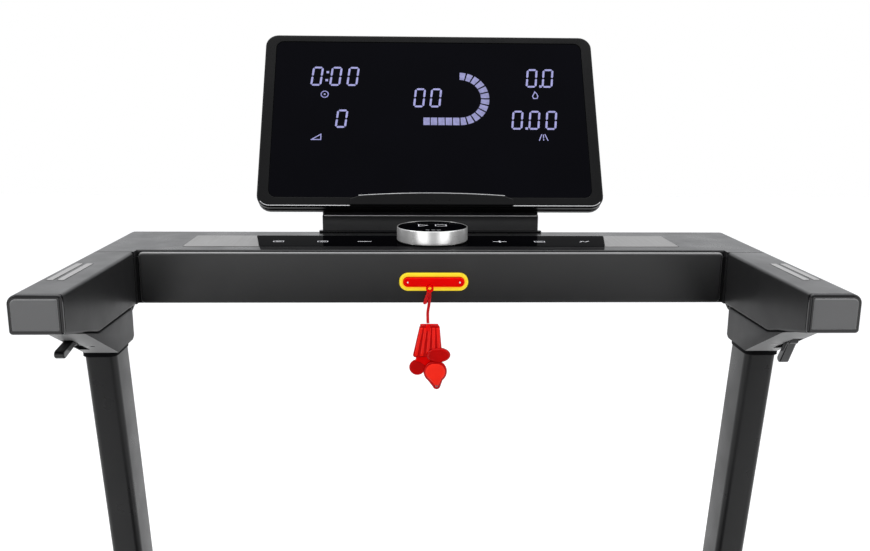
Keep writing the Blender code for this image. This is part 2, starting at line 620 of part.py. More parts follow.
def build_bracket(side, skins, uprights):
    """The joint housing on top of an upright: a wedge under the handrail, with a hinge knuckle."""
    skin = skins["bracket_plastic"]
    seam, rear = 2 * GAP, HEAD_Y - 0.0160
    low_x, high_x = UPRIGHT_X - UPRIGHT_W / 2, UPRIGHT_X + UPRIGHT_W / 2
    outline = [(rear, CROSSBAR_BOTTOM - seam), (rear, 0.9360), (rear - 0.004, 0.9330), SLOPE_LOW, SLOPE_HIGH]
    outline += [(y, z - seam) for y, z in reversed(RAIL_UNDERSIDE[:2])]
    low, high = span(side, RAIL_IN, RAIL_OUT)
    bracket = prism("bracket_" + side_name(side), outline, "X", low, high, skin, uprights)
    cut(bracket, slope_chamfer(side, skin, uprights))
    bevel(bracket, 0.0022, 2, 30.0)
    web_near, web_far, web_low, web_high = HEAD_PIVOT[0] - 0.012, HEAD_PIVOT[0] - 0.001, 0.9500, 0.9640
    knuckle = [(web_near, web_low), (web_far, web_low)] + arc(HEAD_PIVOT, KNUCKLE_R, -100, 180, 12)
    knuckle += [(HEAD_PIVOT[0] - KNUCKLE_R, web_high), (web_near, web_high)]
    knuckle_low, knuckle_high = span(side, KNUCKLE_IN, KNUCKLE_OUT)
    join(bracket, prism("guide_knuckle", knuckle, "X", knuckle_low, knuckle_high, skin, uprights))
    pin_low, pin_high = span(side, 0.3080, 0.3430)
    pin = cylinder("guide_hinge_pin", HINGE_PIN_R, "X", HEAD_PIVOT, pin_low, pin_high, skin, uprights, 16)
    join(bracket, pin)
    proud = 0.0014
    collar_low, collar_high = span(side, low_x - proud, high_x + proud)
    y = upright_centre(0.929)
    collar_near, collar_far = y - UPRIGHT_D / 2 - 0.0022, y + UPRIGHT_D / 2 + 0.0012
    collar = rounded_rectangle((collar_low, collar_near), (collar_high, collar_far), UPRIGHT_CORNER + proud)
    join(bracket, prism("guide_collar", collar, "Z", COLLAR_LOW, COLLAR_HIGH, skin, uprights))
    cut(bracket, upright_pocket(side, skin, uprights))
    cut(bracket, lever_slot(side, skin, uprights))


def upright_pocket(side, skin, uprights):
    """The socket in the bracket that the top of the upright fills."""
    low, high = UPRIGHT_X - UPRIGHT_W / 2 - GAP, UPRIGHT_X + UPRIGHT_W / 2 + GAP
    foot, head = 0.915, 0.9504
    bm = bmesh.new()
    loops = []
    for z in (foot, head):
        y = upright_centre(z)
        half = UPRIGHT_D / 2 + GAP
        outline = rounded_rectangle((low, y - half), (high, y + half), UPRIGHT_CORNER)
        loops.append([bm.verts.new((side * a, b, z)) for a, b in outline])
    add_ring_walls(bm, *loops)
    bm.faces.new(loops[0])
    bm.faces.new(loops[1])
    return finish("guide_pocket", bm, skin, uprights)


def slope_directions():
    """Unit vectors down the bracket's sloped face and out of it, in Y and Z."""
    along = Vector((SLOPE_LOW[0] - SLOPE_HIGH[0], SLOPE_LOW[1] - SLOPE_HIGH[1])).normalized()
    return along, Vector((along[1], -along[0]))


def slope_chamfer(side, skin, uprights):
    """Takes off the outer edge of the sloped face, so that it narrows below the handrail."""
    along, out = slope_directions()
    start = Vector(SLOPE_HIGH) - 0.020 * along
    reach = 0.140
    section = ((0.33145, 0.0040), (RAIL_OUT + 0.001, -0.0095), (RAIL_OUT + 0.001, 0.0040))
    bm = bmesh.new()
    loops = []
    for travel in (0.0, reach):
        points = [(x, start + travel * along + depth * out) for x, depth in section]
        loops.append([bm.verts.new((side * x, *point)) for x, point in points])
    add_ring_walls(bm, *loops)
    bm.faces.new(loops[0])
    bm.faces.new(loops[1])
    return finish("guide_chamfer", bm, skin, uprights)


def lever_slot(side, skin, uprights):
    """A round well for the lever's hub and a groove along the slope for its blade."""
    low, high = span(side, LEVER_X - LEVER_W / 2 - 0.0005, LEVER_X + LEVER_W / 2 + 0.0005)
    along, out = slope_directions()
    hub = Vector(LEVER_PIVOT)
    reach = LEVER_LENGTH + LEVER_TIP_R + 0.0012
    corners = (hub - 0.0125 * along + 0.0025 * out, hub - 0.0125 * along + 0.016 * out,
               hub + reach * along + 0.016 * out, hub + reach * along - 0.0010 * out)
    outline = [tuple(corner) for corner in corners]
    outline += arc(LEVER_PIVOT, LEVER_HUB_R + 0.0012, 75, 150, 4)
    return prism("guide_slot", outline, "X", low, high, skin, uprights)


def build_lever(side, rest_angle, skins, uprights):
    """A release lever; its rest angle is measured from straight down."""
    axis = joint_frame("lever_axis_" + side_name(side), (side * LEVER_X, *LEVER_PIVOT), uprights)
    down = -90 + rest_angle
    heading = radians(down)
    tip = (LEVER_PIVOT[0] + LEVER_LENGTH * cos(heading), LEVER_PIVOT[1] + LEVER_LENGTH * sin(heading))
    outline = arc(tip, LEVER_TIP_R, down - 90, down + 90, 6)
    outline += arc(LEVER_PIVOT, LEVER_HUB_R, down + 40, down + 320, 12)
    low, high = span(side, LEVER_X - LEVER_W / 2, LEVER_X + LEVER_W / 2)
    lever = prism("lever_" + side_name(side), outline, "X", low, high, skins["gloss_black"], axis)
    bevel(lever, 0.0008, 2, 50.0)


def build_uprights(skins, base):
    uprights = joint_frame("uprights", (0, *BASE_PIVOT), base)
    for side, lever_angle in ((-1, LEFT_LEVER), (1, RIGHT_LEVER)):
        build_upright(side, skins, uprights)
        build_bracket(side, skins, uprights)
        build_lever(side, lever_angle, skins, uprights)
    return uprights


# ---------------------------------------------------------------- head
def crossbar_outline(inset=0.0):
    fillet, corner = 0.003, 0.0075
    rear = HEAD_Y + CROSSBAR_DEPTH - inset
    side = RAIL_OUT - inset
    right = arc((RAIL_IN - fillet, HEAD_Y - fillet), fillet, 90, 0, 3)
    right[-1] = (RAIL_IN, SEAM_Y)
    outline = right + [(side, SEAM_Y)]
    outline += arc((side - corner, rear - corner), corner, 0, 90, 4)
    left = [(-a, b) for a, b in reversed(outline)]
    return outline + left


def build_crossbar(skins, head):
    skin = skins["rail_plastic"]
    housing = prism("crossbar_housing", crossbar_outline(), "Z", CROSSBAR_BOTTOM, LID_BOTTOM - GAP,
                    skin, head)
    bevel(housing, 0.0012, 2, 60.0)
    wall = 0.003
    cut(housing, box("guide_trough", (-0.3000, HEAD_Y + wall, CROSSBAR_BOTTOM + wall),
                     (0.3000, HEAD_Y + CROSSBAR_DEPTH - wall, LID_BOTTOM + 0.010), skin, head))
    for side in (-1, 1):
        add_hinge_lugs(housing, side, skin, head)
    stadium = stadium_outline(0.0720, 0.0195, KEY_Z)
    cut(housing, prism("guide_key_hole", stadium, "Y", HEAD_Y - 0.010, HEAD_Y + 0.010, skin, head))
    lid_skin = skins["lid_plastic"]
    lid = prism("crossbar_top_cover", crossbar_outline(), "Z", LID_BOTTOM, RAIL_TOP, lid_skin, head)
    bevel(lid, 0.0012, 2, 60.0)
    pocket_low, pocket_high = (-PANEL_HALF - GAP, PANEL_NEAR - GAP), (PANEL_HALF + GAP, PANEL_FAR + GAP)
    pocket = rounded_rectangle(pocket_low, pocket_high, 0.003)
    cut(lid, prism("guide_panel_pocket", pocket, "Z", 1.0175, RAIL_TOP + 0.010, lid_skin, head))
    cut(lid, cylinder("guide_shaft_hole", 0.0045, "Z", (0, KNOB_Y), 1.0, 1.03, lid_skin, head, 20))


def add_hinge_lugs(housing, side, skin, head):
    """Two lugs under each end of the crossbar, on either side of the bracket's knuckle."""
    web = HEAD_Y + 0.006
    lug = arc(HEAD_PIVOT, KNUCKLE_R, 90, 300, 10)
    lug += [(web, CROSSBAR_BOTTOM + 0.001), (web, HEAD_PIVOT[1] + KNUCKLE_R)]
    for inner, outer in ((0.3065, KNUCKLE_IN - GAP), (KNUCKLE_OUT + GAP, 0.3445)):
        low, high = span(side, inner, outer)
        join(housing, prism("guide_hinge_lug", lug, "X", low, high, skin, head))
    low, high = span(side, KNUCKLE_IN - GAP, KNUCKLE_OUT + GAP)
    cut(housing, box("guide_knuckle_slot", (low, HEAD_Y - 0.0200, 0.9500), (high, HEAD_Y - 0.0015, 0.9722),
                     skin, head))
    low, high = span(side, 0.3055, 0.3455)
    bore = cylinder("guide_lug_bore", HINGE_PIN_R + GAP, "X", HEAD_PIVOT, low, high, skin, head, 16)
    cut(housing, bore)


def build_handrail(side, skins, head):
    """A short handrail; its underside rises towards the free end."""
    near = HEAD_Y - RAIL_LENGTH
    profile = [(SEAM_Y - GAP, RAIL_TOP), (SEAM_Y - GAP, CROSSBAR_BOTTOM)] + list(RAIL_UNDERSIDE)
    profile += [(near + 0.002, 0.9868), (near, 0.9885), (near, RAIL_TOP)]
    low, high = span(side, RAIL_IN, RAIL_OUT)
    skin = skins["rail_plastic"]
    rail = prism("handrail_" + side_name(side), profile, "X", low, high, skin, head)
    bevel(rail, 0.0028, 3, 50.0)
    for x in STRIP_XS:
        plate_low, plate_high = span(side, x - STRIP_W / 2 - GAP, x + STRIP_W / 2 + GAP)
        slot = rounded_rectangle((plate_low, STRIP_NEAR - GAP), (plate_high, STRIP_FAR + GAP), 0.0015, 2)
        cut(rail, prism("guide_plate_slot", slot, "Z", RAIL_TOP - 0.0035, RAIL_TOP + 0.010, skin, head))
    bridge_low, bridge_high = span(side, 0.3217, 0.3378)
    cut(rail, box("guide_bridge_slot", (bridge_low, HEAD_Y - 0.1000, RAIL_TOP - 0.0060),
                  (bridge_high, HEAD_Y - 0.0900, RAIL_TOP - 0.0025), skin, head))
    notch_low, notch_high = span(side, 0.3060, 0.3450)
    cut(rail, box("guide_hinge_notch", (notch_low, HEAD_Y - 0.0145, 0.9600), (notch_high, HEAD_Y, 0.9722),
                  skin, head))
    build_pulse_plate(side, skins, head)


def build_pulse_plate(side, skins, head):
    """Two contact strips let into the top of a handrail, joined by a strap below the surface."""
    skin = skins["silver"]
    top = RAIL_TOP + 0.0004
    strips = []
    for x in STRIP_XS:
        low, high = span(side, x - STRIP_W / 2, x + STRIP_W / 2)
        outline = rounded_rectangle((low, STRIP_NEAR), (high, STRIP_FAR), 0.0015, 2)
        name = "guide_strip" if strips else "pulse_plate_" + side_name(side)
        strips.append(prism(name, outline, "Z", RAIL_TOP - 0.0032, top, skin, head))
    low, high = span(side, 0.3220, 0.3375)
    strap = box("guide_strap", (low, HEAD_Y - 0.0995, RAIL_TOP - 0.0050), (high, HEAD_Y - 0.0905,
                RAIL_TOP - 0.0028), skin, head)
    join(strips[0], strap)
    join(strips[0], strips[1])


def stadium_outline(width, height, z, steps=8):
    """A slot shape in X and Z, centred on X = 0."""
    half, radius = width / 2 - height / 2, height / 2
    return arc((half, z), radius, -90, 90, steps) + arc((-half, z), radius, 90, 270, steps)


def build_safety_key(skins, head):
    """A push-in magnetic key in a ringed socket, with a lanyard and a clothing clip."""
    socket = prism("key_socket", stadium_outline(0.0710, 0.0185, KEY_Z), "Y", HEAD_Y - 0.0015,
                   HEAD_Y + 0.0160, skins["key_yellow"], head)
    bevel(socket, 0.0006, 2, 60.0)
    cut(socket, prism("guide_key_well", stadium_outline(0.0642, 0.0108, KEY_Z), "Y", HEAD_Y - 0.010,
                      HEAD_Y + 0.0130, skins["key_yellow"], head))
    axis = joint_frame("safety_key_axis", (0, HEAD_Y, KEY_Z), head)
    skin = skins["key_red"]
    key = prism("safety_key", stadium_outline(0.0634, 0.0100, KEY_Z), "Y", HEAD_Y - 0.0045,
                HEAD_Y + 0.0120, skin, axis)
    bevel(key, 0.0010, 2, 60.0)
    loop = arc((-0.0042, KEY_Z - 0.0058), 0.0040, 180, 360, 8)
    loop += [(-0.0002, KEY_Z + 0.0035), (-0.0082, KEY_Z + 0.0035)]
    join(key, prism("guide_key_loop", loop, "Y", HEAD_Y - 0.0085, HEAD_Y - 0.0040, skin, axis))
    build_lanyard(skins, axis)
    build_clip(skins, axis)


def smooth_route(route, steps):
    """Points on a Catmull-Rom curve through a route."""
    points = [Vector(p) for p in route]
    ends = [points[0] * 2 - points[1]] + points + [points[-1] * 2 - points[-2]]
    result = []
    for i in range(1, len(ends) - 2):
        a, b, c, d = ends[i - 1:i + 3]
        for k in range(steps):
            t = k / steps
            result.append(0.5 * (2 * b + (c - a) * t + (2 * a - 5 * b + 4 * c - d) * t ** 2
                                 + (3 * b - a - 3 * c + d) * t ** 3))
    result.append(points[-1])
    return result


def build_lanyard(skins, parent):
    curve = bpy.data.curves.new("lanyard", "CURVE")
    curve.dimensions = "3D"
    curve.bevel_depth = LANYARD_R
    curve.bevel_resolution = 2
    curve.use_fill_caps = True
    points = smooth_route(LANYARD_ROUTE, 2)
    spline = curve.splines.new("POLY")
    spline.points.add(len(points) - 1)
    for target, point in zip(spline.points, points):
        target.co = (*point, 1.0)
    curve.materials.append(skins["cord_red"])
    cord = bpy.data.objects.new("lanyard", curve)
    bpy.context.scene.collection.objects.link(cord)
    attach(cord, parent)


def build_clip(skins, key_axis):
    """A sprung clip: a ribbed body with a round nose, and a jaw behind it on the same pin."""
    skin = skins["key_red"]
    front, middle, back = CLIP_FRONT, CLIP_MIDDLE, CLIP_BACK
    upper = [(-0.0148, 0.9438), (-0.0138, 0.9460), (0.0051, 0.9460), (0.0061, 0.9438), (0.0090, 0.9240)]
    upper += arc((0.0110, 0.9165), 0.0062, 60, -75, 6)
    upper += [(0.0060, 0.9075), (-0.0040, 0.9080), (-0.0100, 0.9110), (-0.0215, 0.9110), (-0.0220, 0.9138)]
    body = prism("clip_body", upper, "Y", front, middle, skin, key_axis)
    nose = arc((0.0017, 0.8960), 0.0122, 60, -60, 6) + arc((0.0032, 0.8806), 0.0040, -20, -160, 5)
    nose += arc((0.0017, 0.8960), 0.0122, 240, 120, 6)
    join(body, prism("guide_nose", nose, "Y", front, middle, skin, key_axis))
    neck = [(-0.0050, 0.9100), (0.0085, 0.9100), (0.0085, 0.9030), (-0.0050, 0.9030)]
    join(body, prism("guide_clip_neck", neck, "Y", front, middle, skin, key_axis))
    join(body, cylinder("guide_cord_boss", 0.0027, "Z", (-0.0060, HEAD_Y - 0.0131), 0.9400, 0.9467, skin,
                        key_axis, 14))
    jaw_axis = joint_frame("clip_jaw_axis", (0, *CLIP_PIVOT), key_axis)
    jaw = [(-0.0170, 0.9180), (0.0060, 0.9180), (0.0075, 0.9120), (0.0030, 0.9010), (-0.0080, 0.9010),
           (-0.0190, 0.9060)]
    rear_jaw = prism("clip_jaw", jaw, "Y", middle + GAP, back, skin, jaw_axis)
    ball = cylinder("guide_ball", 0.0085, "Y", (-0.0168, 0.8993), middle + GAP, back, skin, jaw_axis, 20)
    join(rear_jaw, ball)
    lever = [(middle + GAP, 0.9150), (middle + GAP, 0.9180), (middle + 0.0072, 0.9440),
             (back + 0.0068, 0.9440), (back, 0.9150)]
    join(rear_jaw, prism("guide_jaw_lever", lever, "X", -0.0140, 0.0050, skin, jaw_axis))


def build_knob(skins, head):
    """A turning speed knob around a pressed start cap, on an encoder under the cover."""
    panel_skin = skins["panel_black"]
    outline = rounded_rectangle((-PANEL_HALF, PANEL_NEAR), (PANEL_HALF, PANEL_FAR), 0.003)
    panel = prism("key_panel", outline, "Z", 1.0178, PANEL_TOP, panel_skin, head)
    cut(panel, cylinder("guide_panel_hole", 0.0045, "Z", (0, KNOB_Y), 1.0, 1.03, panel_skin, head, 20))
    centre = (0, KNOB_Y)
    ring_axis = joint_frame("knob_axis", (0, KNOB_Y, KNOB_BOTTOM), head)
    ring = [(0.0035, KNOB_BOTTOM), (KNOB_R - 0.0008, KNOB_BOTTOM), (KNOB_R, KNOB_BOTTOM + 0.0008),
            (KNOB_R, KNOB_TOP - 0.0012), (KNOB_R - 0.0012, KNOB_TOP), (KNOB_R - 0.0042, KNOB_TOP),
            (KNOB_R - 0.0046, KNOB_TOP - 0.0006), (KNOB_R - 0.0046, KNOB_BOTTOM + 0.003),
            (0.0035, KNOB_BOTTOM + 0.003)]
    turned("knob_ring", ring, "Z", centre, skins["knob_metal"], ring_axis, 48, True)
    cap_axis = joint_frame("knob_cap_axis", (0, KNOB_Y, KNOB_TOP), ring_axis)
    radius = KNOB_R - 0.0049
    cap = [(0.0, 1.0275), (radius, 1.0275), (radius, KNOB_TOP - 0.0002), (radius - 0.0008, KNOB_TOP + 0.0005),
           (0.0, KNOB_TOP + 0.0008)]
    turned("knob_cap", cap, "Z", centre, skins["panel_black"], cap_axis, 48)
    encoder = [(0.0, 0.9990), (0.011, 0.9990), (0.011, 1.0138), (0.0030, 1.0138), (0.0030, 1.0255)]
    encoder.append((0.0, 1.0255))
    turned("knob_encoder", encoder, "Z", centre, skins["silver"], head, 20)


def display_matrix():
    lean, lift = sin(DISPLAY_TILT), cos(DISPLAY_TILT)
    foot_y, foot_z = DISPLAY_FOOT
    return Matrix(((1, 0, 0, 0), (0, lean, -lift, foot_y), (0, lift, lean, foot_z), (0, 0, 0, 1)))


def plane_piece(name, outline, low, high, skin, parent, inner=None):
    """A piece built in the display's plane and moved into place; n is the height off the face."""
    if inner:
        piece = ring_prism(name, outline, inner, "Z", low, high, skin, parent)
    else:
        piece = prism(name, outline, "Z", low, high, skin, parent)
    piece.data.transform(display_matrix())
    return piece


def build_display(skins, head):
    """A tilted console: bezel, glass, circuit board and a shallow back shell on a curved neck."""
    half = DISPLAY_W / 2
    face = rounded_rectangle((-half, 0), (half, DISPLAY_H), DISPLAY_CORNER, 5)
    window = rounded_rectangle((-GLASS_U, GLASS_LOW), (GLASS_U, GLASS_HIGH), 0.009, 5)
    plane_piece("display_bezel", face, -0.0060, 0.0, skins["bezel_black"], head, window)
    pane = rounded_rectangle((-GLASS_U + GAP, GLASS_LOW + GAP), (GLASS_U - GAP, GLASS_HIGH - GAP), 0.0088, 5)
    plane_piece("display_glass", pane, -0.0030, -0.0005, skins["glass_black"], head)
    board = rounded_rectangle((-0.178, 0.018), (0.178, 0.212), 0.004, 2)
    plane_piece("display_board", board, -0.0092, -0.0076, skins["board_green"], head)
    shell = plane_piece("display_back_shell", face, -DISPLAY_T, -0.0060 - GAP, skins["bezel_black"], head)
    bevel(shell, 0.0045, 3, 60.0)
    floor = -DISPLAY_T + 0.0022
    hollow = rounded_rectangle((-half + 0.006, 0.006), (half - 0.006, DISPLAY_H - 0.006), 0.009, 3)
    cut(shell, plane_piece("guide_shell_hollow", hollow, floor, 0.002, skins["bezel_black"], head))
    build_neck(skins, head)


def build_neck(skins, head):
    """A wide curved foot behind the display, wrapped over the rear edge of the crossbar."""
    y = HEAD_Y
    lean, lift = sin(DISPLAY_TILT), cos(DISPLAY_TILT)
    corner_y = DISPLAY_FOOT[0] + DISPLAY_T * lift
    corner_z = DISPLAY_FOOT[1] - DISPLAY_T * lean
    clear = 0.0008
    outline = [(y + 0.1180, RAIL_TOP + GAP), (y + 0.1180, 1.0395), (y + 0.1188, 1.0408)]
    outline += [(corner_y + clear, corner_z - clear)]
    outline += [(corner_y + clear * lift + 0.034 * lean, corner_z - clear * lean + 0.034 * lift)]
    outline += arc((y + 0.1440, 1.0600), 0.0075, 70, 0, 4)
    rear = y + CROSSBAR_DEPTH + GAP
    outline += [(y + 0.1515, 0.9900), (rear, 0.9860), (rear, RAIL_TOP + GAP)]
    neck = prism("display_neck", outline, "X", -0.1245, 0.1245, skins["bezel_black"], head)
    bevel(neck, 0.0012, 2, 50.0)


def build_head(skins, uprights):
    head = joint_frame("head", (0, *HEAD_PIVOT), uprights)
    build_crossbar(skins, head)
    for side in (-1, 1):
        build_handrail(side, skins, head)
    build_knob(skins, head)
    build_safety_key(skins, head)
    build_display(skins, head)


def main():
    clear_scene()
    skins = make_materials()
    base = build_base(skins)
    uprights = build_uprights(skins, base)
    build_head(skins, uprights)


main()
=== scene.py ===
"""Looks for the folding treadmill: camera, light, materials and finely shaped pieces.

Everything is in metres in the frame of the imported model: +Z up, +Y away from the user, +X to the
user's right.  Pieces are built where they belong, so each object sits at the origin, and their
sizes come from the boxes of the CAD nodes that they stand for or lie on.
"""

from math import cos, hypot, pi, radians, sin, tan

import bmesh
import bpy
from mathutils import Matrix, Vector


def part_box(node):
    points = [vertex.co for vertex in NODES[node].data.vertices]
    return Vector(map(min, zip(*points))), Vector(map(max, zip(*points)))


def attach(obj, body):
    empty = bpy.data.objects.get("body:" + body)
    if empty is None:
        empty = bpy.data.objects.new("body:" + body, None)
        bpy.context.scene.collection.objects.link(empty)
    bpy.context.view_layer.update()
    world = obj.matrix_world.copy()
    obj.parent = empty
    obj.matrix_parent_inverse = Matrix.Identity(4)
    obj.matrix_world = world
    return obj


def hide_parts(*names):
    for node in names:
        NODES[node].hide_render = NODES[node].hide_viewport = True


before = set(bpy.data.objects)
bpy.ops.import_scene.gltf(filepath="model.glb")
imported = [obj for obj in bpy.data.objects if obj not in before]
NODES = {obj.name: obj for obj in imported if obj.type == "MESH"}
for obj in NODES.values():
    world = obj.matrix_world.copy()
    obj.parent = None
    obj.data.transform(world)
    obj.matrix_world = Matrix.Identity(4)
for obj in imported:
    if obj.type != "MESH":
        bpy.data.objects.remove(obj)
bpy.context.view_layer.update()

# ---------------------------------------------------------------- places taken from the frame
RAIL_LOW, RAIL_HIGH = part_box("handrail_right")
RAIL_IN, RAIL_OUT, RAIL_TOP = RAIL_LOW.x, RAIL_HIGH.x, RAIL_HIGH.z
RAIL_NEAR, SEAM_Y = RAIL_LOW.y, RAIL_HIGH.y
LID_LOW, LID_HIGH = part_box("crossbar_top_cover")
PANEL_LOW, PANEL_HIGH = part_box("key_panel")
KNOB_LOW, KNOB_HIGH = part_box("knob_ring")
CAP_LOW, CAP_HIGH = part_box("knob_cap")
SOCKET_LOW, SOCKET_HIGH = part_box("key_socket")
NECK_LOW, NECK_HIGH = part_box("display_neck")
BEZEL_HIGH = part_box("display_bezel")[1]
BELT_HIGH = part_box("running_belt")[1]
FOOT_LOW, FOOT_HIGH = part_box("foot_rail_right")
HOOD_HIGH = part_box("motor_cover")[1]
CAP_END_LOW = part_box("rear_cap_right")[0]

HEAD_Y = SEAM_Y + 0.0033                   # front face of the crossbar
GAP = 0.0003
HEAD_PIVOT = (HEAD_Y - 0.008, 0.966)
BAR_BOTTOM = 0.9655
BAR_REAR = LID_HIGH.y
RAIL_UNDERSIDE = ((HEAD_Y - 0.112, 0.9670), (HEAD_Y - 0.134, 0.9735), (HEAD_Y - 0.147, 0.9765),
                  (HEAD_Y - 0.188, 0.9868))
KEY_Z = (SOCKET_LOW.z + SOCKET_HIGH.z) / 2
KNOB_Y = (KNOB_LOW.y + KNOB_HIGH.y) / 2
KNOB_R = (KNOB_HIGH.x - KNOB_LOW.x) / 2

DISPLAY_TILT = radians(31.7)
DISPLAY_FOOT = (HEAD_Y + 0.105, 1.0516)
DISPLAY_HALF, DISPLAY_H, DISPLAY_T = BEZEL_HIGH.x, 0.228, 0.019
DISPLAY_CORNER = 0.015
GLASS_U, GLASS_LOW, GLASS_HIGH = 0.185, 0.012, 0.2185

UPRIGHT_X, UPRIGHT_W, UPRIGHT_D = 0.3285, 0.031, 0.043
UPRIGHT_LEAN = tan(radians(8.0))
UPRIGHT_REF = (HEAD_Y - 0.0265, 0.92)

# the lanyard hangs between the key and the clip, along the CAD's own route
LANYARD_R = 0.0015
LANYARD_ROUTE = ((-0.0042, HEAD_Y - 0.0063, KEY_Z - 0.0101), (-0.0042, HEAD_Y - 0.0064, 0.9740),
                 (-0.0050, HEAD_Y - 0.0072, 0.9660), (-0.0062, HEAD_Y - 0.0084, 0.9580),
                 (-0.0062, HEAD_Y - 0.0098, 0.9510), (-0.0060, HEAD_Y - 0.0110, 0.9470))

CAMERA_PLACE = (-0.0286, -0.6446, 1.1833)
CAMERA_FORWARD = (0.0337, 0.9765, -0.2128)
CAMERA_UP = (0.0, 0.2129, 0.9771)
CAMERA_LENS, CAMERA_SENSOR = 35.59, 36.0


# ---------------------------------------------------------------- outlines
def arc(centre, radius, start, end, steps):
    """Points on an arc, angles in degrees."""
    points = []
    for i in range(steps + 1):
        angle = radians(start + (end - start) * i / steps)
        points.append((centre[0] + radius * cos(angle), centre[1] + radius * sin(angle)))
    return points


def circle(centre, radius, steps):
    return arc(centre, radius, 0, 360.0 * (steps - 1) / steps, steps - 1)


def corner_rectangle(low, high, radii, steps=5):
    """A rectangle with its own radius at each corner: far-high, near-high, near-low, far-low."""
    corners = ((high[0], high[1], -1, -1), (low[0], high[1], 1, -1), (low[0], low[1], 1, 1),
               (high[0], low[1], -1, 1))
    points = []
    for i, ((a, b, toward_a, toward_b), radius) in enumerate(zip(corners, radii)):
        points += arc((a + toward_a * radius, b + toward_b * radius), radius, 90 * i, 90 * i + 90, steps)
    return points


def rounded_rectangle(low, high, radius, steps=5):
    return corner_rectangle(low, high, (radius,) * 4, steps)


def stadium(centre, width, height, steps=14):
    """A slot shape."""
    half, radius = width / 2 - height / 2, height / 2
    right, left = (centre[0] + half, centre[1]), (centre[0] - half, centre[1])
    return arc(right, radius, -90, 90, steps) + arc(left, radius, 90, 270, steps)


def on_axis(outline, axis, level):
    """Places 2-D outline points at a level of the axis that they are extruded along."""
    if axis == "X":
        return [(level, a, b) for a, b in outline]
    if axis == "Y":
        return [(a, level, b) for a, b in outline]
    return [(a, b, level) for a, b in outline]


def span(side, inner, outer):
    return (inner, outer) if side > 0 else (-outer, -inner)


def side_name(side):
    return "right" if side > 0 else "left"


def upright_centre(z):
    return UPRIGHT_REF[0] + (UPRIGHT_REF[1] - z) * UPRIGHT_LEAN


# ---------------------------------------------------------------- meshes
def loft(rings, looped=False, bm=None):
    """Joins rings that have the same number of points; ends are capped unless the rings loop."""
    bm = bm or bmesh.new()
    rows = [[bm.verts.new(p) for p in ring] for ring in rings]
    pairs = list(zip(rows, rows[1:]))
    if looped:
        pairs.append((rows[-1], rows[0]))
    for low, high in pairs:
        for i in range(len(low)):
            j = (i + 1) % len(low)
            bm.faces.new((low[i], low[j], high[j], high[i]))
    if not looped:
        bm.faces.new(rows[0])
        bm.faces.new(rows[-1])
    return bm


def prism(outline, axis, low, high, bm=None):
    return loft([on_axis(outline, axis, low), on_axis(outline, axis, high)], bm=bm)


def box(low, high, bm=None):
    outline = [(low[0], low[1]), (high[0], low[1]), (high[0], high[1]), (low[0], high[1])]
    return prism(outline, "Z", low[2], high[2], bm)


def turned(profile, axis, centre, steps=64, bm=None):
    """Turns (radius, position) points about an axis; points with no radius become poles."""
    bm = bm or bmesh.new()
    rows = []
    for radius, along in profile:
        if radius == 0.0:
            rows.append([bm.verts.new(on_axis([centre], axis, along)[0])])
        else:
            rows.append([bm.verts.new(p) for p in on_axis(circle(centre, radius, steps), axis, along)])
    for first, second in zip(rows, rows[1:]):
        for i in range(steps):
            j = (i + 1) % steps
            if len(first) == 1:
                bm.faces.new((first[0], second[i], second[j]))
            elif len(second) == 1:
                bm.faces.new((first[i], first[j], second[0]))
            else:
                bm.faces.new((first[i], first[j], second[j], second[i]))
    if len(rows[0]) > 1 and len(rows[-1]) > 1:
        for i in range(steps):
            j = (i + 1) % steps
            bm.faces.new((rows[-1][i], rows[-1][j], rows[0][j], rows[0][i]))
    return bm


def ball(centre, radii, bm=None, around=28, rings=16):
    """An ellipsoid with its poles along Z."""
    bm = bm or bmesh.new()
    made = bmesh.ops.create_uvsphere(bm, u_segments=around, v_segments=rings, radius=1.0)
    place = Matrix.Translation(centre) @ Matrix.Diagonal((*radii, 1.0))
    bmesh.ops.transform(bm, matrix=place, verts=made["verts"])
    return bm


def as_mesh(name, bm):
    """Turns a working mesh into mesh data."""
    mesh = bpy.data.meshes.new(name)
    bm.to_mesh(mesh)
    bm.free()
    return mesh


def add_object(name, data):
    """Puts new data into the scene as an object."""
    made = bpy.data.objects.new(name, data)
    bpy.context.scene.collection.objects.link(made)
    return made


def add_part(bm, part, place):
    """Adds a small part to a mesh, moved to its place."""
    bmesh.ops.transform(part, matrix=place, verts=part.verts)
    mesh = as_mesh("part", part)
    bm.from_mesh(mesh)
    bpy.data.meshes.remove(mesh)


def piece(name, bm, skin, body, stands_for=(), smooth=35.0):
    """Finishes a mesh as an object that rides on a body."""
    bmesh.ops.recalc_face_normals(bm, faces=bm.faces)
    mesh = as_mesh(name, bm)
    mesh.materials.append(skin)
    mesh.shade_smooth()
    mesh.set_sharp_from_angle(angle=radians(smooth))
    made = add_object(name, mesh)
    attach(made, body)
    if stands_for:
        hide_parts(*stands_for)
    return made


def bevel(made, width, segments=3, angle=38.0):
    modifier = made.modifiers.new("Bevel", "BEVEL")
    modifier.width = width
    modifier.segments = segments
    modifier.limit_method = "ANGLE"
    modifier.angle_limit = radians(angle)
    modifier.harden_normals = True
    return made


def even_shading(made):
    """Keeps large flat faces flat beside their rounded edges."""
    modifier = made.modifiers.new("Normals", "WEIGHTED_NORMAL")
    modifier.keep_sharp = True
    return made


def settle(made):
    """Applies the piece's modifiers to its mesh."""
    graph = bpy.context.evaluated_depsgraph_get()
    mesh = bpy.data.meshes.new_from_object(made.evaluated_get(graph))
    made.modifiers.clear()
    made.data = mesh
    return made


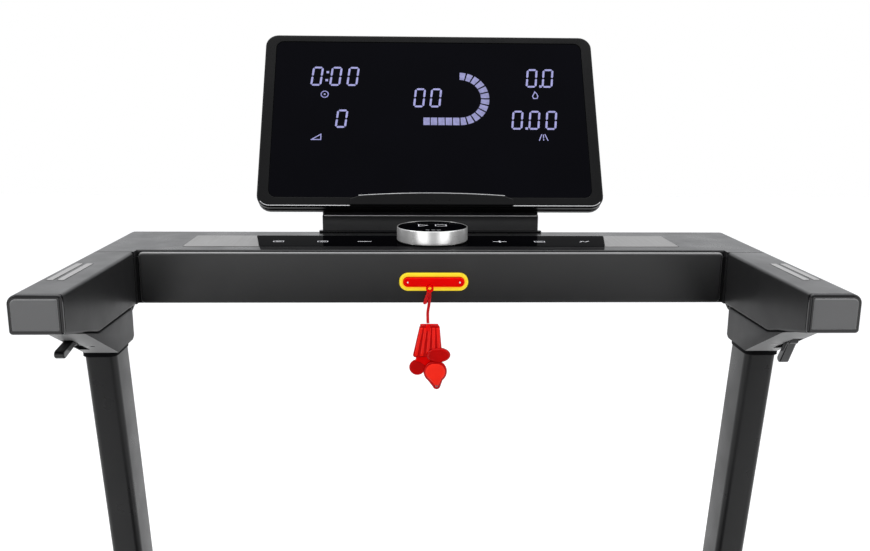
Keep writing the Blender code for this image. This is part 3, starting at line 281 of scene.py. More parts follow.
def combine(made, bm, operation):
    """Cuts or joins with a tool mesh that is then removed."""
    bmesh.ops.recalc_face_normals(bm, faces=bm.faces)
    tool = add_object("tool", as_mesh("tool", bm))
    modifier = made.modifiers.new("Combine", "BOOLEAN")
    modifier.operation = operation
    modifier.solver = "EXACT"
    modifier.object = tool
    settle(made)
    bpy.data.objects.remove(tool)
    return made


def cut(made, bm):
    return combine(made, bm, "DIFFERENCE")


def join(made, bm):
    return combine(made, bm, "UNION")


def refine(made, smooth=35.0):
    made.data.shade_smooth()
    made.data.set_sharp_from_angle(angle=radians(smooth))
    return made


# ---------------------------------------------------------------- materials
class Skin:
    """A procedural material, built up one feature at a time in the coordinates of the object."""

    def __init__(self, name, colour, roughness, metallic=0.0, specular=0.5, ior=1.45):
        self.material = bpy.data.materials.new(name)
        self.material.use_nodes = True
        self.nodes = self.material.node_tree.nodes
        self.links = self.material.node_tree.links
        self.shader = self.nodes["Principled BSDF"]
        self.shader.inputs["Base Color"].default_value = (*colour, 1.0)
        self.shader.inputs["Roughness"].default_value = roughness
        self.shader.inputs["Metallic"].default_value = metallic
        self.shader.inputs["Specular IOR Level"].default_value = specular
        self.shader.inputs["IOR"].default_value = ior
        self.colour, self.roughness = colour, roughness
        self.place = self.add("ShaderNodeTexCoord").outputs["Object"]
        self.colour_socket = None
        self.height = None

    def add(self, kind, **values):
        node = self.nodes.new(kind)
        for key, value in values.items():
            setattr(node, key, value)
        return node

    def link(self, source, target):
        self.links.new(source, target)

    def stretched(self, scale):
        """The object's coordinates, scaled along each axis."""
        mapping = self.add("ShaderNodeMapping")
        mapping.inputs["Scale"].default_value = scale
        self.link(self.place, mapping.inputs["Vector"])
        return mapping.outputs["Vector"]

    def noise(self, scale, detail=3.0, stretch=(1, 1, 1)):
        node = self.add("ShaderNodeTexNoise")
        node.inputs["Scale"].default_value = scale
        node.inputs["Detail"].default_value = detail
        self.link(self.stretched(stretch), node.inputs["Vector"])
        return node.outputs["Fac"]

    def cells(self, scale, stretch=(1, 1, 1)):
        node = self.add("ShaderNodeTexVoronoi")
        node.inputs["Scale"].default_value = scale
        self.link(self.stretched(stretch), node.inputs["Vector"])
        return node.outputs["Distance"]

    def wave(self, scale, direction, stretch):
        node = self.add("ShaderNodeTexWave", wave_type="BANDS", bands_direction=direction)
        node.inputs["Scale"].default_value = scale
        node.inputs["Distortion"].default_value = 0.4
        self.link(self.stretched(stretch), node.inputs["Vector"])
        return node.outputs["Fac"]

    def along(self, axis, low, high):
        """0 to 1 from one place to another along an axis of the object."""
        split = self.add("ShaderNodeSeparateXYZ")
        self.link(self.place, split.inputs["Vector"])
        return self.ramp(split.outputs[axis], low, high)

    def ramp(self, source, low, high, low_value=0.0, high_value=1.0):
        node = self.add("ShaderNodeMapRange")
        node.inputs["From Min"].default_value = low
        node.inputs["From Max"].default_value = high
        node.inputs["To Min"].default_value = low_value
        node.inputs["To Max"].default_value = high_value
        self.link(source, node.inputs["Value"])
        return node.outputs["Result"]

    def facing(self, axis, low, high):
        """0 to 1 as the surface turns so that its normal's part along an axis goes from low to high."""
        split = self.add("ShaderNodeSeparateXYZ")
        self.link(self.add("ShaderNodeNewGeometry").outputs["Normal"], split.inputs["Vector"])
        return self.ramp(split.outputs[axis], low, high)

    def math(self, operation, first, second):
        node = self.add("ShaderNodeMath", operation=operation)
        for socket, value in zip(node.inputs, (first, second)):
            if isinstance(value, (int, float)):
                socket.default_value = value
            else:
                self.link(value, socket)
        return node.outputs["Value"]

    def tint(self, share, colour):
        """Blends towards a colour where share is high."""
        mix = self.add("ShaderNodeMix", data_type="RGBA")
        colours = [s for s in mix.inputs if s.type == "RGBA"]
        factor = next(s for s in mix.inputs if s.type == "VALUE")
        self.link(share, factor)
        if self.colour_socket is None:
            colours[0].default_value = (*self.colour, 1.0)
        else:
            self.link(self.colour_socket, colours[0])
        colours[1].default_value = (*colour, 1.0)
        self.colour_socket = next(s for s in mix.outputs if s.type == "RGBA")
        self.link(self.colour_socket, self.shader.inputs["Base Color"])
        return self

    def mottle(self, amount, scale=9.0):
        """Soft, wide changes of colour."""
        lighter = tuple(min(1.0, c * (1 + amount)) for c in self.colour)
        return self.tint(self.ramp(self.noise(scale), 0.35, 0.65), lighter)

    def edge_wear(self, colour, amount=0.5):
        """Lightens exposed edges."""
        edge = self.add("ShaderNodeNewGeometry").outputs["Pointiness"]
        return self.tint(self.ramp(edge, 0.52, 0.62, 0.0, amount), colour)

    def rough(self, spread, scale=30.0, stretch=(1, 1, 1)):
        """Uneven gloss."""
        low, high = max(0.02, self.roughness - spread), min(1.0, self.roughness + spread)
        value = self.ramp(self.noise(scale, 4.0, stretch), 0.3, 0.7, low, high)
        self.link(value, self.shader.inputs["Roughness"])
        return self

    def bump(self, height, distance, strength=1.0):
        node = self.add("ShaderNodeBump")
        node.inputs["Strength"].default_value = strength
        node.inputs["Distance"].default_value = distance
        self.link(height, node.inputs["Height"])
        if self.height is not None:
            self.link(self.height, node.inputs["Normal"])
        self.height = node.outputs["Normal"]
        self.link(self.height, self.shader.inputs["Normal"])
        return self

    def grain(self, scale, distance):
        """The fine leather-like texture of a mould."""
        return self.bump(self.cells(scale), distance).bump(self.noise(scale * 0.4), distance)

    def brushed(self, stretch, distance=0.00002, spread=0.08):
        """Fine parallel scratches, long on the axis that stretch makes small."""
        self.bump(self.noise(1.0, 2.0, stretch), distance)
        return self.rough(spread, 1.0, stretch)

    def shine(self, share, low_ior, high_ior):
        """Reflects more where share is high."""
        self.link(self.ramp(share, 0.0, 1.0, low_ior, high_ior), self.shader.inputs["IOR"])
        return self

    def painted_edge_shade(self, colour, amount=0.9):
        """Paints shade: deepens the colour where the surface curves away from sight."""
        weight = self.add("ShaderNodeLayerWeight")
        weight.inputs["Blend"].default_value = 0.5
        return self.tint(self.ramp(weight.outputs["Facing"], 0.30, 0.75, 0.0, amount), colour)

    def glow(self, colour, strength):
        self.shader.inputs["Emission Color"].default_value = (*colour, 1.0)
        self.shader.inputs["Emission Strength"].default_value = strength
        return self

    def self_lit(self, strength):
        """Glows in its own mixed colour: painted light, on parts that are no lamps."""
        self.link(self.colour_socket, self.shader.inputs["Emission Color"])
        self.shader.inputs["Emission Strength"].default_value = strength
        return self


def moulded(name, colour, roughness, grain=0.00003, ior=1.36, side_ior=None):
    """Textured injection-moulded plastic, glossier on its upper faces where side_ior is given."""
    lighter = tuple(c * 1.5 + 0.01 for c in colour)
    skin = Skin(name, colour, roughness, ior=ior).mottle(0.12).edge_wear(lighter, 0.35)
    if side_ior:
        skin.shine(skin.facing("Z", 0.3, 0.9), side_ior, ior)
    return skin.rough(0.05).grain(1400.0, grain).material


def glossy(name, colour, roughness, ior=1.45):
    """Polished plastic with faint dust and a slightly uneven face."""
    skin = Skin(name, colour, roughness, ior=ior).mottle(0.25, 14.0).rough(0.03, 60.0)
    return skin.bump(skin.noise(35.0), 0.00006).material


def painted(name, colour, roughness, metallic=0.0, ior=1.36):
    """Powder-coated steel with its fine orange-peel surface."""
    lighter = tuple(c * 1.6 + 0.015 for c in colour)
    skin = Skin(name, colour, roughness, metallic, ior=ior).mottle(0.15).edge_wear(lighter, 0.4)
    return skin.rough(0.06).bump(skin.noise(700.0, 2.0), 0.00005).material


def brushed_metal(name, colour, roughness, stretch, distance=0.00002):
    skin = Skin(name, colour, roughness, 1.0).mottle(0.10, 22.0)
    return skin.brushed(stretch, distance).material


def knob_skin():
    """Fine-turned aluminium, its scratches running around the ring, with a faint painted glow."""
    skin = Skin("knob_metal", (0.90, 0.90, 0.895), 0.32, 1.0).mottle(0.10, 22.0)
    return skin.self_lit(0.10).brushed((12, 12, 5200), 0.000001, 0.05).material


def bracket_skin(z_collar):
    """Satin grey plastic, paler underneath as painted light from the floor, with the collar at its foot
    darker.
    """
    skin = Skin("bracket_plastic", (0.020, 0.020, 0.021), 0.42).mottle(0.15)
    skin.edge_wear((0.16, 0.16, 0.16), 0.35)
    # painted light: the faces turned downwards are paler, as if lit by the floor
    skin.tint(skin.facing("Z", -0.35, -0.80), (0.31, 0.31, 0.31))
    collar = skin.along("Z", z_collar, z_collar - 0.0003)
    skin.tint(collar, (0.010, 0.010, 0.011)).shine(collar, 1.16, 1.05)
    return skin.rough(0.05).grain(1400.0, 0.00003).material


def board_skin():
    """Laminated deck board with a pale wood core grain."""
    skin = Skin("deck_board", (0.15, 0.10, 0.06), 0.55)
    skin.tint(skin.ramp(skin.noise(1.0, 6.0, (60, 2, 400)), 0.35, 0.65), (0.26, 0.18, 0.11))
    return skin.rough(0.08).bump(skin.noise(1.0, 4.0, (150, 6, 900)), 0.0001).material


def belt_skin():
    """Ribbed diamond-weave running belt."""
    skin = Skin("belt_rubber", (0.013, 0.013, 0.014), 0.72, specular=0.3).mottle(0.5, 5.0)
    skin.tint(skin.ramp(skin.noise(3.0, 5.0), 0.50, 0.75, 0.0, 0.35), (0.045, 0.044, 0.042))
    across = skin.wave(330.0, "DIAGONAL", (1, 1, 0))
    back = skin.wave(330.0, "DIAGONAL", (1, -1, 0))
    weave = skin.math("MAXIMUM", across, back)
    return skin.rough(0.08, 40.0).bump(weave, 0.0004).bump(skin.noise(900.0), 0.0001).material


def rubber_skin():
    skin = Skin("rubber", (0.012, 0.012, 0.012), 0.78, specular=0.3).mottle(0.6, 12.0)
    skin.tint(skin.ramp(skin.noise(25.0, 5.0), 0.55, 0.8, 0.0, 0.3), (0.05, 0.048, 0.045))
    return skin.rough(0.08).bump(skin.cells(600.0), 0.00008).material


def circuit_skin():
    """Green solder mask with pale pads."""
    skin = Skin("board_green", (0.015, 0.09, 0.035), 0.35)
    skin.tint(skin.ramp(skin.cells(140.0), 0.12, 0.10), (0.45, 0.40, 0.25))
    skin.tint(skin.ramp(skin.wave(60.0, "X", (1, 1, 1)), 0.80, 0.85, 0.0, 0.5), (0.03, 0.16, 0.06))
    return skin.rough(0.05).bump(skin.cells(140.0), 0.0001).material


def cord_skin():
    """A braided red cord, with a painted glow and painted shade in the grooves of its braid."""
    skin = Skin("cord_red", (0.80, 0.006, 0.008), 0.5, ior=1.25).mottle(0.3, 60.0)
    skin.glow((1.0, 0.01, 0.02), 0.08)
    one, two = skin.wave(500.0, "DIAGONAL", (1, 1, 1)), skin.wave(500.0, "DIAGONAL", (-1, 1, 1))
    braid = skin.math("MULTIPLY", one, two)
    # painted shade: darker where the braid sinks
    skin.tint(skin.ramp(braid, 0.0, 0.2, 0.5, 0.0), (0.28, 0.002, 0.002))
    return skin.bump(braid, 0.0003).material


def red_skin(name, colour, glow, ior=1.30):
    """Glossy red vinyl, as on the key and its clip, with painted shade at its rims and a painted glow."""
    darker = tuple(c * 0.70 for c in colour)
    skin = Skin(name, colour, 0.15, ior=ior).mottle(0.15, 45.0)
    skin.tint(skin.ramp(skin.noise(90.0, 4.0), 0.45, 0.75, 0.0, 0.5), darker)
    # painted shade where the surface turns away from sight, and a painted glow in the red's own colour
    skin.painted_edge_shade(tuple(c * 0.22 for c in colour)).self_lit(glow)
    return skin.rough(0.04, 90.0).bump(skin.noise(160.0), 0.00010).material


def yellow_skin():
    skin = Skin("key_yellow", (1.0, 0.80, 0.03), 0.34, ior=1.3).mottle(0.1, 60.0)
    skin.tint(skin.ramp(skin.noise(70.0), 0.45, 0.75, 0.0, 0.4), (1.0, 0.72, 0.02))
    # a painted glow that lifts the yellow, though the ring is no lamp
    skin.glow((1.0, 0.74, 0.035), 0.45)
    return skin.rough(0.05).bump(skin.noise(300.0), 0.00004).material


def front_skin():
    """The fascia's plastic, with painted light: paler towards its top, and a painted highlight along its
    rounded upper and side edges.
    """
    skin = Skin("front_plastic", (0.020, 0.020, 0.0205), 0.34, ior=1.38).mottle(0.12)
    # painted light: paler towards the top, and a painted highlight where the edges round away from the front
    painted_edge_highlight = skin.math("MULTIPLY", skin.facing("Y", -0.92, -0.45), skin.facing("Z", -0.35, -0.10))
    skin.tint(skin.along("Z", 0.972, 1.016), (0.060, 0.060, 0.060))
    skin.tint(painted_edge_highlight, (0.34, 0.34, 0.34))
    return skin.rough(0.05).grain(1400.0, 0.00003).material


def end_skin():
    """The pale satin face of a handrail's end, with a painted highlight along its rounded upper edge."""
    skin = Skin("end_cap_plastic", (0.200, 0.200, 0.202), 0.34, ior=1.36).mottle(0.12)
    # painted highlight on the faces that turn upwards
    skin.tint(skin.facing("Z", 0.15, 0.70), (0.48, 0.48, 0.48))
    return skin.rough(0.05).grain(1400.0, 0.00003).material


def glow_skin(name, strength):
    """Lit display segments, slightly uneven as diodes behind a mask are."""
    skin = Skin(name, (0.20, 0.20, 0.34), 0.4, ior=1.2)
    skin.glow((0.40, 0.40, 0.78), strength)
    return skin.mottle(0.5, 240.0).bump(skin.noise(900.0), 0.00002).material


def print_skin():
    """Pale printed icons on the touch keys, with a faint painted glow."""
    skin = Skin("icon_print", (0.62, 0.62, 0.64), 0.5).mottle(0.3, 400.0)
    return skin.glow((0.6, 0.6, 0.65), 0.20).bump(skin.noise(1500.0), 0.00001).material


def make_skins():
    around_x = (30, 2500, 2500)
    return {
        "rail_plastic": moulded("rail_plastic", (0.016, 0.016, 0.0165), 0.34, ior=1.60, side_ior=1.18),
        "end_plastic": end_skin(),
        # pale metal for painted highlights: bright strips and dots where edges catch the light
        "painted_highlight": brushed_metal("painted_highlight", (0.85, 0.85, 0.86), 0.35, (12, 2600, 2600), 0.00001),
        "lid_plastic": moulded("lid_plastic", (0.022, 0.022, 0.023), 0.30, side_ior=1.15),
        "neck_plastic": moulded("neck_plastic", (0.041, 0.041, 0.042), 0.38),
        "front_plastic": front_skin(),
        "bracket_plastic": bracket_skin(0.9342),
        "gloss_black": glossy("gloss_black", (0.004, 0.004, 0.005), 0.10),
        "panel_black": glossy("panel_black", (0.0012, 0.0012, 0.0016), 0.10, 1.010),
        "strip_black": moulded("strip_black", (0.011, 0.011, 0.0115), 0.45, ior=1.03),
        "bezel_black": moulded("bezel_black", (0.0036, 0.0036, 0.0040), 0.30, 0.00002, 1.24),
        "glass_black": glossy("glass_black", (0.0013, 0.0013, 0.0030), 0.06, 1.12),
        "silver": brushed_metal("silver", (0.40, 0.395, 0.39), 0.34, (12, 2600, 2600)),
        "plate_silver": brushed_metal("plate_silver", (0.26, 0.255, 0.25), 0.36, (2600, 12, 2600)),
        "knob_metal": knob_skin(),
        "upright_paint": painted("upright_paint", (0.0075, 0.0075, 0.0080), 0.32, ior=1.33),
        "frame_paint": painted("frame_paint", (0.020, 0.020, 0.022), 0.42),
        "steel": brushed_metal("steel", (0.46, 0.46, 0.47), 0.30, around_x),
        "cast_iron": painted("cast_iron", (0.11, 0.11, 0.115), 0.42, 0.8),
        "controller_aluminium": brushed_metal("controller_aluminium", (0.42, 0.42, 0.43), 0.36,
                                              (2000, 20, 2000)),
        "deck_board": board_skin(),
        "belt_rubber": belt_skin(),
        "rubber": rubber_skin(),
        "cover_plastic": moulded("cover_plastic", (0.022, 0.022, 0.024), 0.42, 0.00006),
        "board_green": circuit_skin(),
        "key_yellow": yellow_skin(),
        "key_red": red_skin("key_red", (0.94, 0.0015, 0.0015), 0.26, 1.14),
        "clip_red": red_skin("clip_red", (1.0, 0.012, 0.006), 0.30),
        # shaded and lit copies of the clip's red: painted shade on the grip, lobe, nose rim and jaw foot, and
        # a painted highlight on the nose face
        "shaded_red": red_skin("shaded_red", (0.66, 0.001, 0.001), 0.14, 1.24),
        "lit_red": red_skin("lit_red", (1.0, 0.022, 0.009), 0.42),
        "cord_red": cord_skin(),
        "glow": glow_skin("display_segments", 0.47),
        "dim_glow": glow_skin("display_gauge", 0.27),
        "print": print_skin(),
    }


# ---------------------------------------------------------------- camera and light
def make_camera():
    data = bpy.data.cameras.new("camera")
    data.sensor_width = CAMERA_SENSOR
    data.lens = CAMERA_LENS
    data.clip_end = 100.0
    camera = add_object("camera", data)
    forward, up = Vector(CAMERA_FORWARD).normalized(), Vector(CAMERA_UP).normalized()
    right = forward.cross(up).normalized()
    turn = Matrix((right, right.cross(forward), -forward)).transposed()
    camera.matrix_world = Matrix.Translation(CAMERA_PLACE) @ turn.to_4x4()
    bpy.context.scene.camera = camera


def add_light(name, place, target, size, power, diffuse=True):
    data = bpy.data.lights.new(name, "AREA")
    data.shape = "RECTANGLE"
    data.size, data.size_y = size
    data.energy = power
    light = add_object(name, data)
    light.location = place
    light.visible_camera = False
    light.visible_diffuse = diffuse
    light.rotation_euler = (Vector(target) - Vector(place)).to_track_quat("-Z", "Y").to_euler()


def make_world():
    """A white studio that is a little darker on the side the user stands."""
    world = bpy.data.worlds.new("studio")
    bpy.context.scene.world = world
    world.use_nodes = True
    nodes, links = world.node_tree.nodes, world.node_tree.links
    room = nodes["Background"]
    split = nodes.new("ShaderNodeSeparateXYZ")
    links.new(nodes.new("ShaderNodeTexCoord").outputs["Generated"], split.inputs["Vector"])
    brightest = nodes.new("ShaderNodeMath")
    brightest.operation = "MAXIMUM"
    for i, (axis, start, end, low, high) in enumerate((("Y", -0.15, 0.75, 0.21, 1.0),
                                                       ("Z", 0.30, 0.85, 0.0, 0.95))):
        fade = nodes.new("ShaderNodeMapRange")
        fade.interpolation_type = "SMOOTHSTEP"
        fade.inputs["From Min"].default_value = start
        fade.inputs["From Max"].default_value = end
        fade.inputs["To Min"].default_value = low
        fade.inputs["To Max"].default_value = high
        links.new(split.outputs[axis], fade.inputs["Value"])
        links.new(fade.outputs["Result"], brightest.inputs[i])
    links.new(brightest.outputs["Value"], room.inputs["Strength"])
    room.inputs["Color"].default_value = (0.97, 0.98, 1.0, 1.0)
    backdrop = nodes.new("ShaderNodeBackground")
    backdrop.inputs["Color"].default_value = (1.0, 1.0, 1.0, 1.0)
    seen = nodes.new("ShaderNodeMixShader")
    links.new(nodes.new("ShaderNodeLightPath").outputs["Is Camera Ray"], seen.inputs["Fac"])
    links.new(room.outputs["Background"], seen.inputs[1])
    links.new(backdrop.outputs["Background"], seen.inputs[2])
    links.new(seen.outputs["Shader"], nodes["World Output"].inputs["Surface"])


def make_stage():
    reach, near = 9.0, -1.1
    bm = bmesh.new()
    bm.faces.new([bm.verts.new((x, y, -0.0005)) for x, y in ((-reach, near), (reach, near),
                                                              (reach, reach), (-reach, reach))])
    skin = Skin("pale_floor", (0.88, 0.88, 0.88), 0.8).mottle(0.03, 0.6)
    skin.glow((1.0, 1.0, 1.0), 0.34)
    mesh = as_mesh("floor", bm)
    mesh.materials.append(skin.material)
    floor = add_object("floor", mesh)


def make_studio():
    make_world()
    make_stage()
    bpy.context.scene.view_settings.view_transform = "Standard"
    add_light("overhead", (0.0, 0.6, 3.2), (0.0, 0.2, 1.0), (2.6, 1.6), 26.0)
    add_light("left_strip", (-1.9, -0.3, 1.9), (-0.2, 0.1, 1.0), (0.5, 1.8), 9.0)
    add_light("right_strip", (1.9, -0.3, 1.9), (0.2, 0.1, 1.0), (0.5, 1.8), 9.0)
    for name, x, y, width, power in (("front_left_glint", -1.10, -1.45, 1.35, 6.4),
                                     ("front_right_glint", 1.25, -1.30, 1.35, 6.4),
                                     ("front_glint", 0.05, -1.85, 1.10, 0.6)):
        add_light(name, (x, y, 0.65), (0.0, KNOB_Y, 1.03), (width, 1.10), power, False)


# ---------------------------------------------------------------- lanyard, first of the soft parts
def smooth_route(route, steps):
    """Points on a Catmull-Rom curve through a route."""
    points = [Vector(p) for p in route]
    ends = [points[0] * 2 - points[1]] + points + [points[-1] * 2 - points[-2]]
    result = []
    for i in range(1, len(ends) - 2):
        a, b, c, d = ends[i - 1:i + 3]
        for k in range(steps):
            t = k / steps
            result.append(0.5 * (2 * b + (c - a) * t + (2 * a - 5 * b + 4 * c - d) * t ** 2
                                 + (3 * b - a - 3 * c + d) * t ** 3))
    result.append(points[-1])
    return result


def make_lanyard(skins):
    curve = bpy.data.curves.new("lanyard_cord", "CURVE")
    curve.dimensions = "3D"
    curve.bevel_depth = LANYARD_R
    curve.bevel_resolution = 5
    curve.use_fill_caps = True
    points = smooth_route(LANYARD_ROUTE, 6)
    spline = curve.splines.new("POLY")
    spline.points.add(len(points) - 1)
    for target, point in zip(spline.points, points):
        target.co = (*point, 1.0)
    spline.use_smooth = True
    curve.materials.append(skins["cord_red"])
    cord = add_object("lanyard_cord", curve)
    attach(cord, "safety_key")
    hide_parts("lanyard")
    return cord, sum((b - a).length for a, b in zip(points, points[1:]))


# ---------------------------------------------------------------- handrails
def rail_bottom(y):
    """Height of a handrail's underside, which rises towards its free end."""
    route = [(SEAM_Y, BAR_BOTTOM)] + list(RAIL_UNDERSIDE) + [(RAIL_NEAR, 0.9873)]
    for (far_y, low), (near_y, high) in zip(route, route[1:]):
        if y >= near_y:
            share = (far_y - y) / (far_y - near_y)
            return low + (high - low) * share
    return route[-1][1]


def rail_ring(side, y, inset=0.0):
    """A handrail's section: softly rounded, most of all along its outer top edge."""
    radii = [max(0.0008, radius - inset) for radius in (0.0080, 0.0030, 0.0028, 0.0028)]
    low = (RAIL_IN + inset, rail_bottom(y) + inset)
    high = (RAIL_OUT - inset, RAIL_TOP - inset)
    return [(side * a, y, b) for a, b in corner_rectangle(low, high, radii, 7)]


def strip_centres():
    """Middles, width, near and far ends of a handrail's two contact strips, from the CAD plate."""
    low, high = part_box("pulse_plate_right")
    width = 0.006
    return (low.x + width / 2, high.x - width / 2), width, low.y, high.y


def build_handrail(side, skins):
    cap_end = RAIL_NEAR + 0.0045
    bends = [HEAD_Y - back for back in (0.148, 0.145, 0.136, 0.132, 0.114, 0.109)]
    rings = [rail_ring(side, cap_end + 0.0004, 0.0010)]
    rings += [rail_ring(side, y) for y in (cap_end + 0.0008, 0.045, 0.060, *bends, 0.150, 0.190)]
    rings += [rail_ring(side, SEAM_Y - 0.0006), rail_ring(side, SEAM_Y - 0.0002, 0.0007)]
    rail = piece("rail_" + side_name(side), loft(rings), skins["rail_plastic"], "head",
                 ["handrail_" + side_name(side)])
    centres, width, near, far = strip_centres()
    for x in centres:
        low, high = span(side, x - width / 2 - 0.0005, x + width / 2 + 0.0005)
        slot = rounded_rectangle((low, near - 0.0005), (high, far + 0.0005), 0.0017, 4)
        cut(rail, prism(slot, "Z", RAIL_TOP - 0.0035, RAIL_TOP + 0.01))
    low, high = span(side, 0.3060, 0.3450)
    cut(rail, box((low, HEAD_Y - 0.0145, 0.9600), (high, HEAD_Y, 0.9722)))
    refine(rail)
    build_rail_end(side, cap_end, skins)
    build_strips(side, skins)


def rounded_rings(ring, near, radius, steps=6):
    """Sections that round over the near rim of something that is cut square to Y."""
    rings = []
    for step in range(steps + 1):
        angle = pi / 2 * step / steps
        rings.append(ring(near + radius * (1 - sin(angle)), radius * (1 - cos(angle))))
    return rings[::-1]


def build_rail_end(side, cap_end, skins):
    """The cap that plugs the handrail's free end: a dark rounded rim around a paler face."""
    lip = 0.0006
    rings = rounded_rings(lambda y, inset: rail_ring(side, y, inset), RAIL_NEAR + lip, 0.0022)
    rings.append(rail_ring(side, cap_end - 0.0004))
    rings.append(rail_ring(side, cap_end, 0.0006))
    rim = piece("rail_end_" + side_name(side), loft(rings), skins["gloss_black"], "head")
    even_shading(rim)
    core = rail_ring(side, cap_end, 0.0022)
    neck = [core, [(x, cap_end + 0.0008, z) for x, _, z in core]]
    piece("rail_end_neck_" + side_name(side), loft(neck), skins["rubber"], "head")
    rings = rounded_rings(lambda y, inset: rail_ring(side, y, inset + 0.0028), RAIL_NEAR, 0.0018)
    rings.append(rail_ring(side, RAIL_NEAR + 0.0022, 0.0028))
    face = piece("rail_end_face_" + side_name(side), loft(rings), skins["end_plastic"], "head")
    even_shading(face)


def build_strips(side, skins):
    centres, width, near, far = strip_centres()
    bm = bmesh.new()
    for x in centres:
        low, high = span(side, x - width / 2, x + width / 2)
        outline = rounded_rectangle((low, near), (high, far), 0.0015, 4)
        prism(outline, "Z", RAIL_TOP - 0.0032, RAIL_TOP + 0.0004, bm)
    strips = piece("pulse_strips_" + side_name(side), bm, skins["silver"], "head",
                   ["pulse_plate_" + side_name(side)])
    bevel(strips, 0.0004, 3, 50.0)


# ---------------------------------------------------------------- crossbar
def bar_outline(front, end, side_inset=0.0, rear_inset=0.0):
    """Half of the crossbar's plan and its mirror: front between the rails, end where it meets them."""
    corner = max(0.0012, 0.0075 - side_inset)
    step = RAIL_IN - 0.0004
    side, rear = RAIL_OUT - side_inset, BAR_REAR - rear_inset
    half = [(step - 0.0060, front), (step, front), (step, end), (side, end)]
    half += arc((side - corner, rear - corner), corner, 0, 90, 8)
    return half + [(-x, y) for x, y in reversed(half)]


def build_crossbar(skins):
    end = SEAM_Y + 0.0002
    front = HEAD_Y + 0.0030
    rings = []
    for z, inset in ((BAR_BOTTOM, 0.0030), (BAR_BOTTOM + 0.0004, 0.0016), (BAR_BOTTOM + 0.0012, 0.0006),
                     (BAR_BOTTOM + 0.0030, 0.0), (LID_LOW.z - 0.0008, 0.0), (LID_LOW.z - 0.0004, 0.0004)):
        rings.append(on_axis(bar_outline(front, end, inset, inset), "Z", z))
    housing = piece("crossbar_body", loft(rings), skins["rail_plastic"], "head",
                    ["crossbar_housing"])
    cut(housing, box((-0.2960, HEAD_Y + 0.0062, BAR_BOTTOM + 0.003), (0.2960, BAR_REAR - 0.003, 1.03)))
    for side in (-1, 1):
        add_hinge_lugs(housing, side)
    cut(housing, prism(stadium((0, KEY_Z), 0.0720, 0.0195), "Y", HEAD_Y - 0.01, HEAD_Y + 0.0200))
    refine(housing)
    build_fascia(skins)
    build_lid(skins)


def add_hinge_lugs(housing, side):
    """Two lugs under each end, on either side of the bracket's knuckle."""
    radius, knuckle_in, knuckle_out = 0.0055, 0.3155, 0.3355
    web = HEAD_Y + 0.006
    lug = arc(HEAD_PIVOT, radius, 90, 300, 20)
    lug += [(web, BAR_BOTTOM + 0.001), (web, HEAD_PIVOT[1] + radius)]
    for inner, outer in ((0.3065, knuckle_in - GAP), (knuckle_out + GAP, 0.3445)):
        low, high = span(side, inner, outer)
        join(housing, prism(lug, "X", low, high))
    low, high = span(side, knuckle_in - GAP, knuckle_out + GAP)
    cut(housing, box((low, HEAD_Y - 0.0200, 0.9500), (high, HEAD_Y - 0.0015, 0.9722)))
    low, high = span(side, 0.3055, 0.3455)
    cut(housing, prism(circle(HEAD_PIVOT, 0.0031, 24), "X", low, high))


def build_fascia(skins):
    """The front face of the crossbar, a separate panel with softly rounded edges."""
    half, low, high, rear = 0.3002, BAR_BOTTOM, 1.0186, HEAD_Y + 0.0036
    radius = 0.0030
    rings = [on_axis(rounded_rectangle((-half, low), (half, high), 0.0042, 6), "Y", rear)]
    for step in range(7):
        angle = pi / 2 * step / 6
        inset = radius * (1 - cos(angle))
        outline = rounded_rectangle((-half + inset, low + inset), (half - inset, high - inset),
                                    0.0042 - inset, 6)
        rings.append(on_axis(outline, "Y", HEAD_Y + radius * (1 - sin(angle))))
    fascia = piece("crossbar_fascia", loft(rings), skins["front_plastic"], "head")
    cut(fascia, prism(stadium((0, KEY_Z), 0.0720, 0.0195, 20), "Y", HEAD_Y - 0.01, HEAD_Y + 0.01))
    refine(fascia)
    even_shading(fascia)


def build_lid(skins):
    """The top cover, rounded down to the sides like the handrails."""
    front = HEAD_Y + 0.0066
    end = SEAM_Y + 0.0002
    radius = 0.0080
    rings = []
    for z, ease in ((LID_LOW.z, 0.0), (1.0160, 0.0), (1.0172, 0.0001), (1.0182, 0.0004),
                    (1.0190, 0.0009), (1.0195, 0.0014), (1.0198, 0.0020), (RAIL_TOP, 0.0028)):
        drop = RAIL_TOP - z
        inset = radius - (radius ** 2 - (radius - drop) ** 2) ** 0.5
        rings.append(on_axis(bar_outline(front + ease, end + min(ease, 0.0005), inset, ease), "Z", z))
    lid = piece("crossbar_lid", loft(rings), skins["lid_plastic"], "head",
                ["crossbar_top_cover"])
    pocket = rounded_rectangle((PANEL_LOW.x - 0.0006, PANEL_LOW.y - 0.0006),
                               (PANEL_HIGH.x + 0.0006, PANEL_HIGH.y + 0.0006), 0.0036, 5)
    cut(lid, prism(pocket, "Z", PANEL_LOW.z - 0.0002, RAIL_TOP + 0.01))
    refine(lid)
    even_shading(lid)


# ---------------------------------------------------------------- key panel and knob
PANEL_NEAR_HALF, PANEL_FAR_HALF = 0.182, 0.195


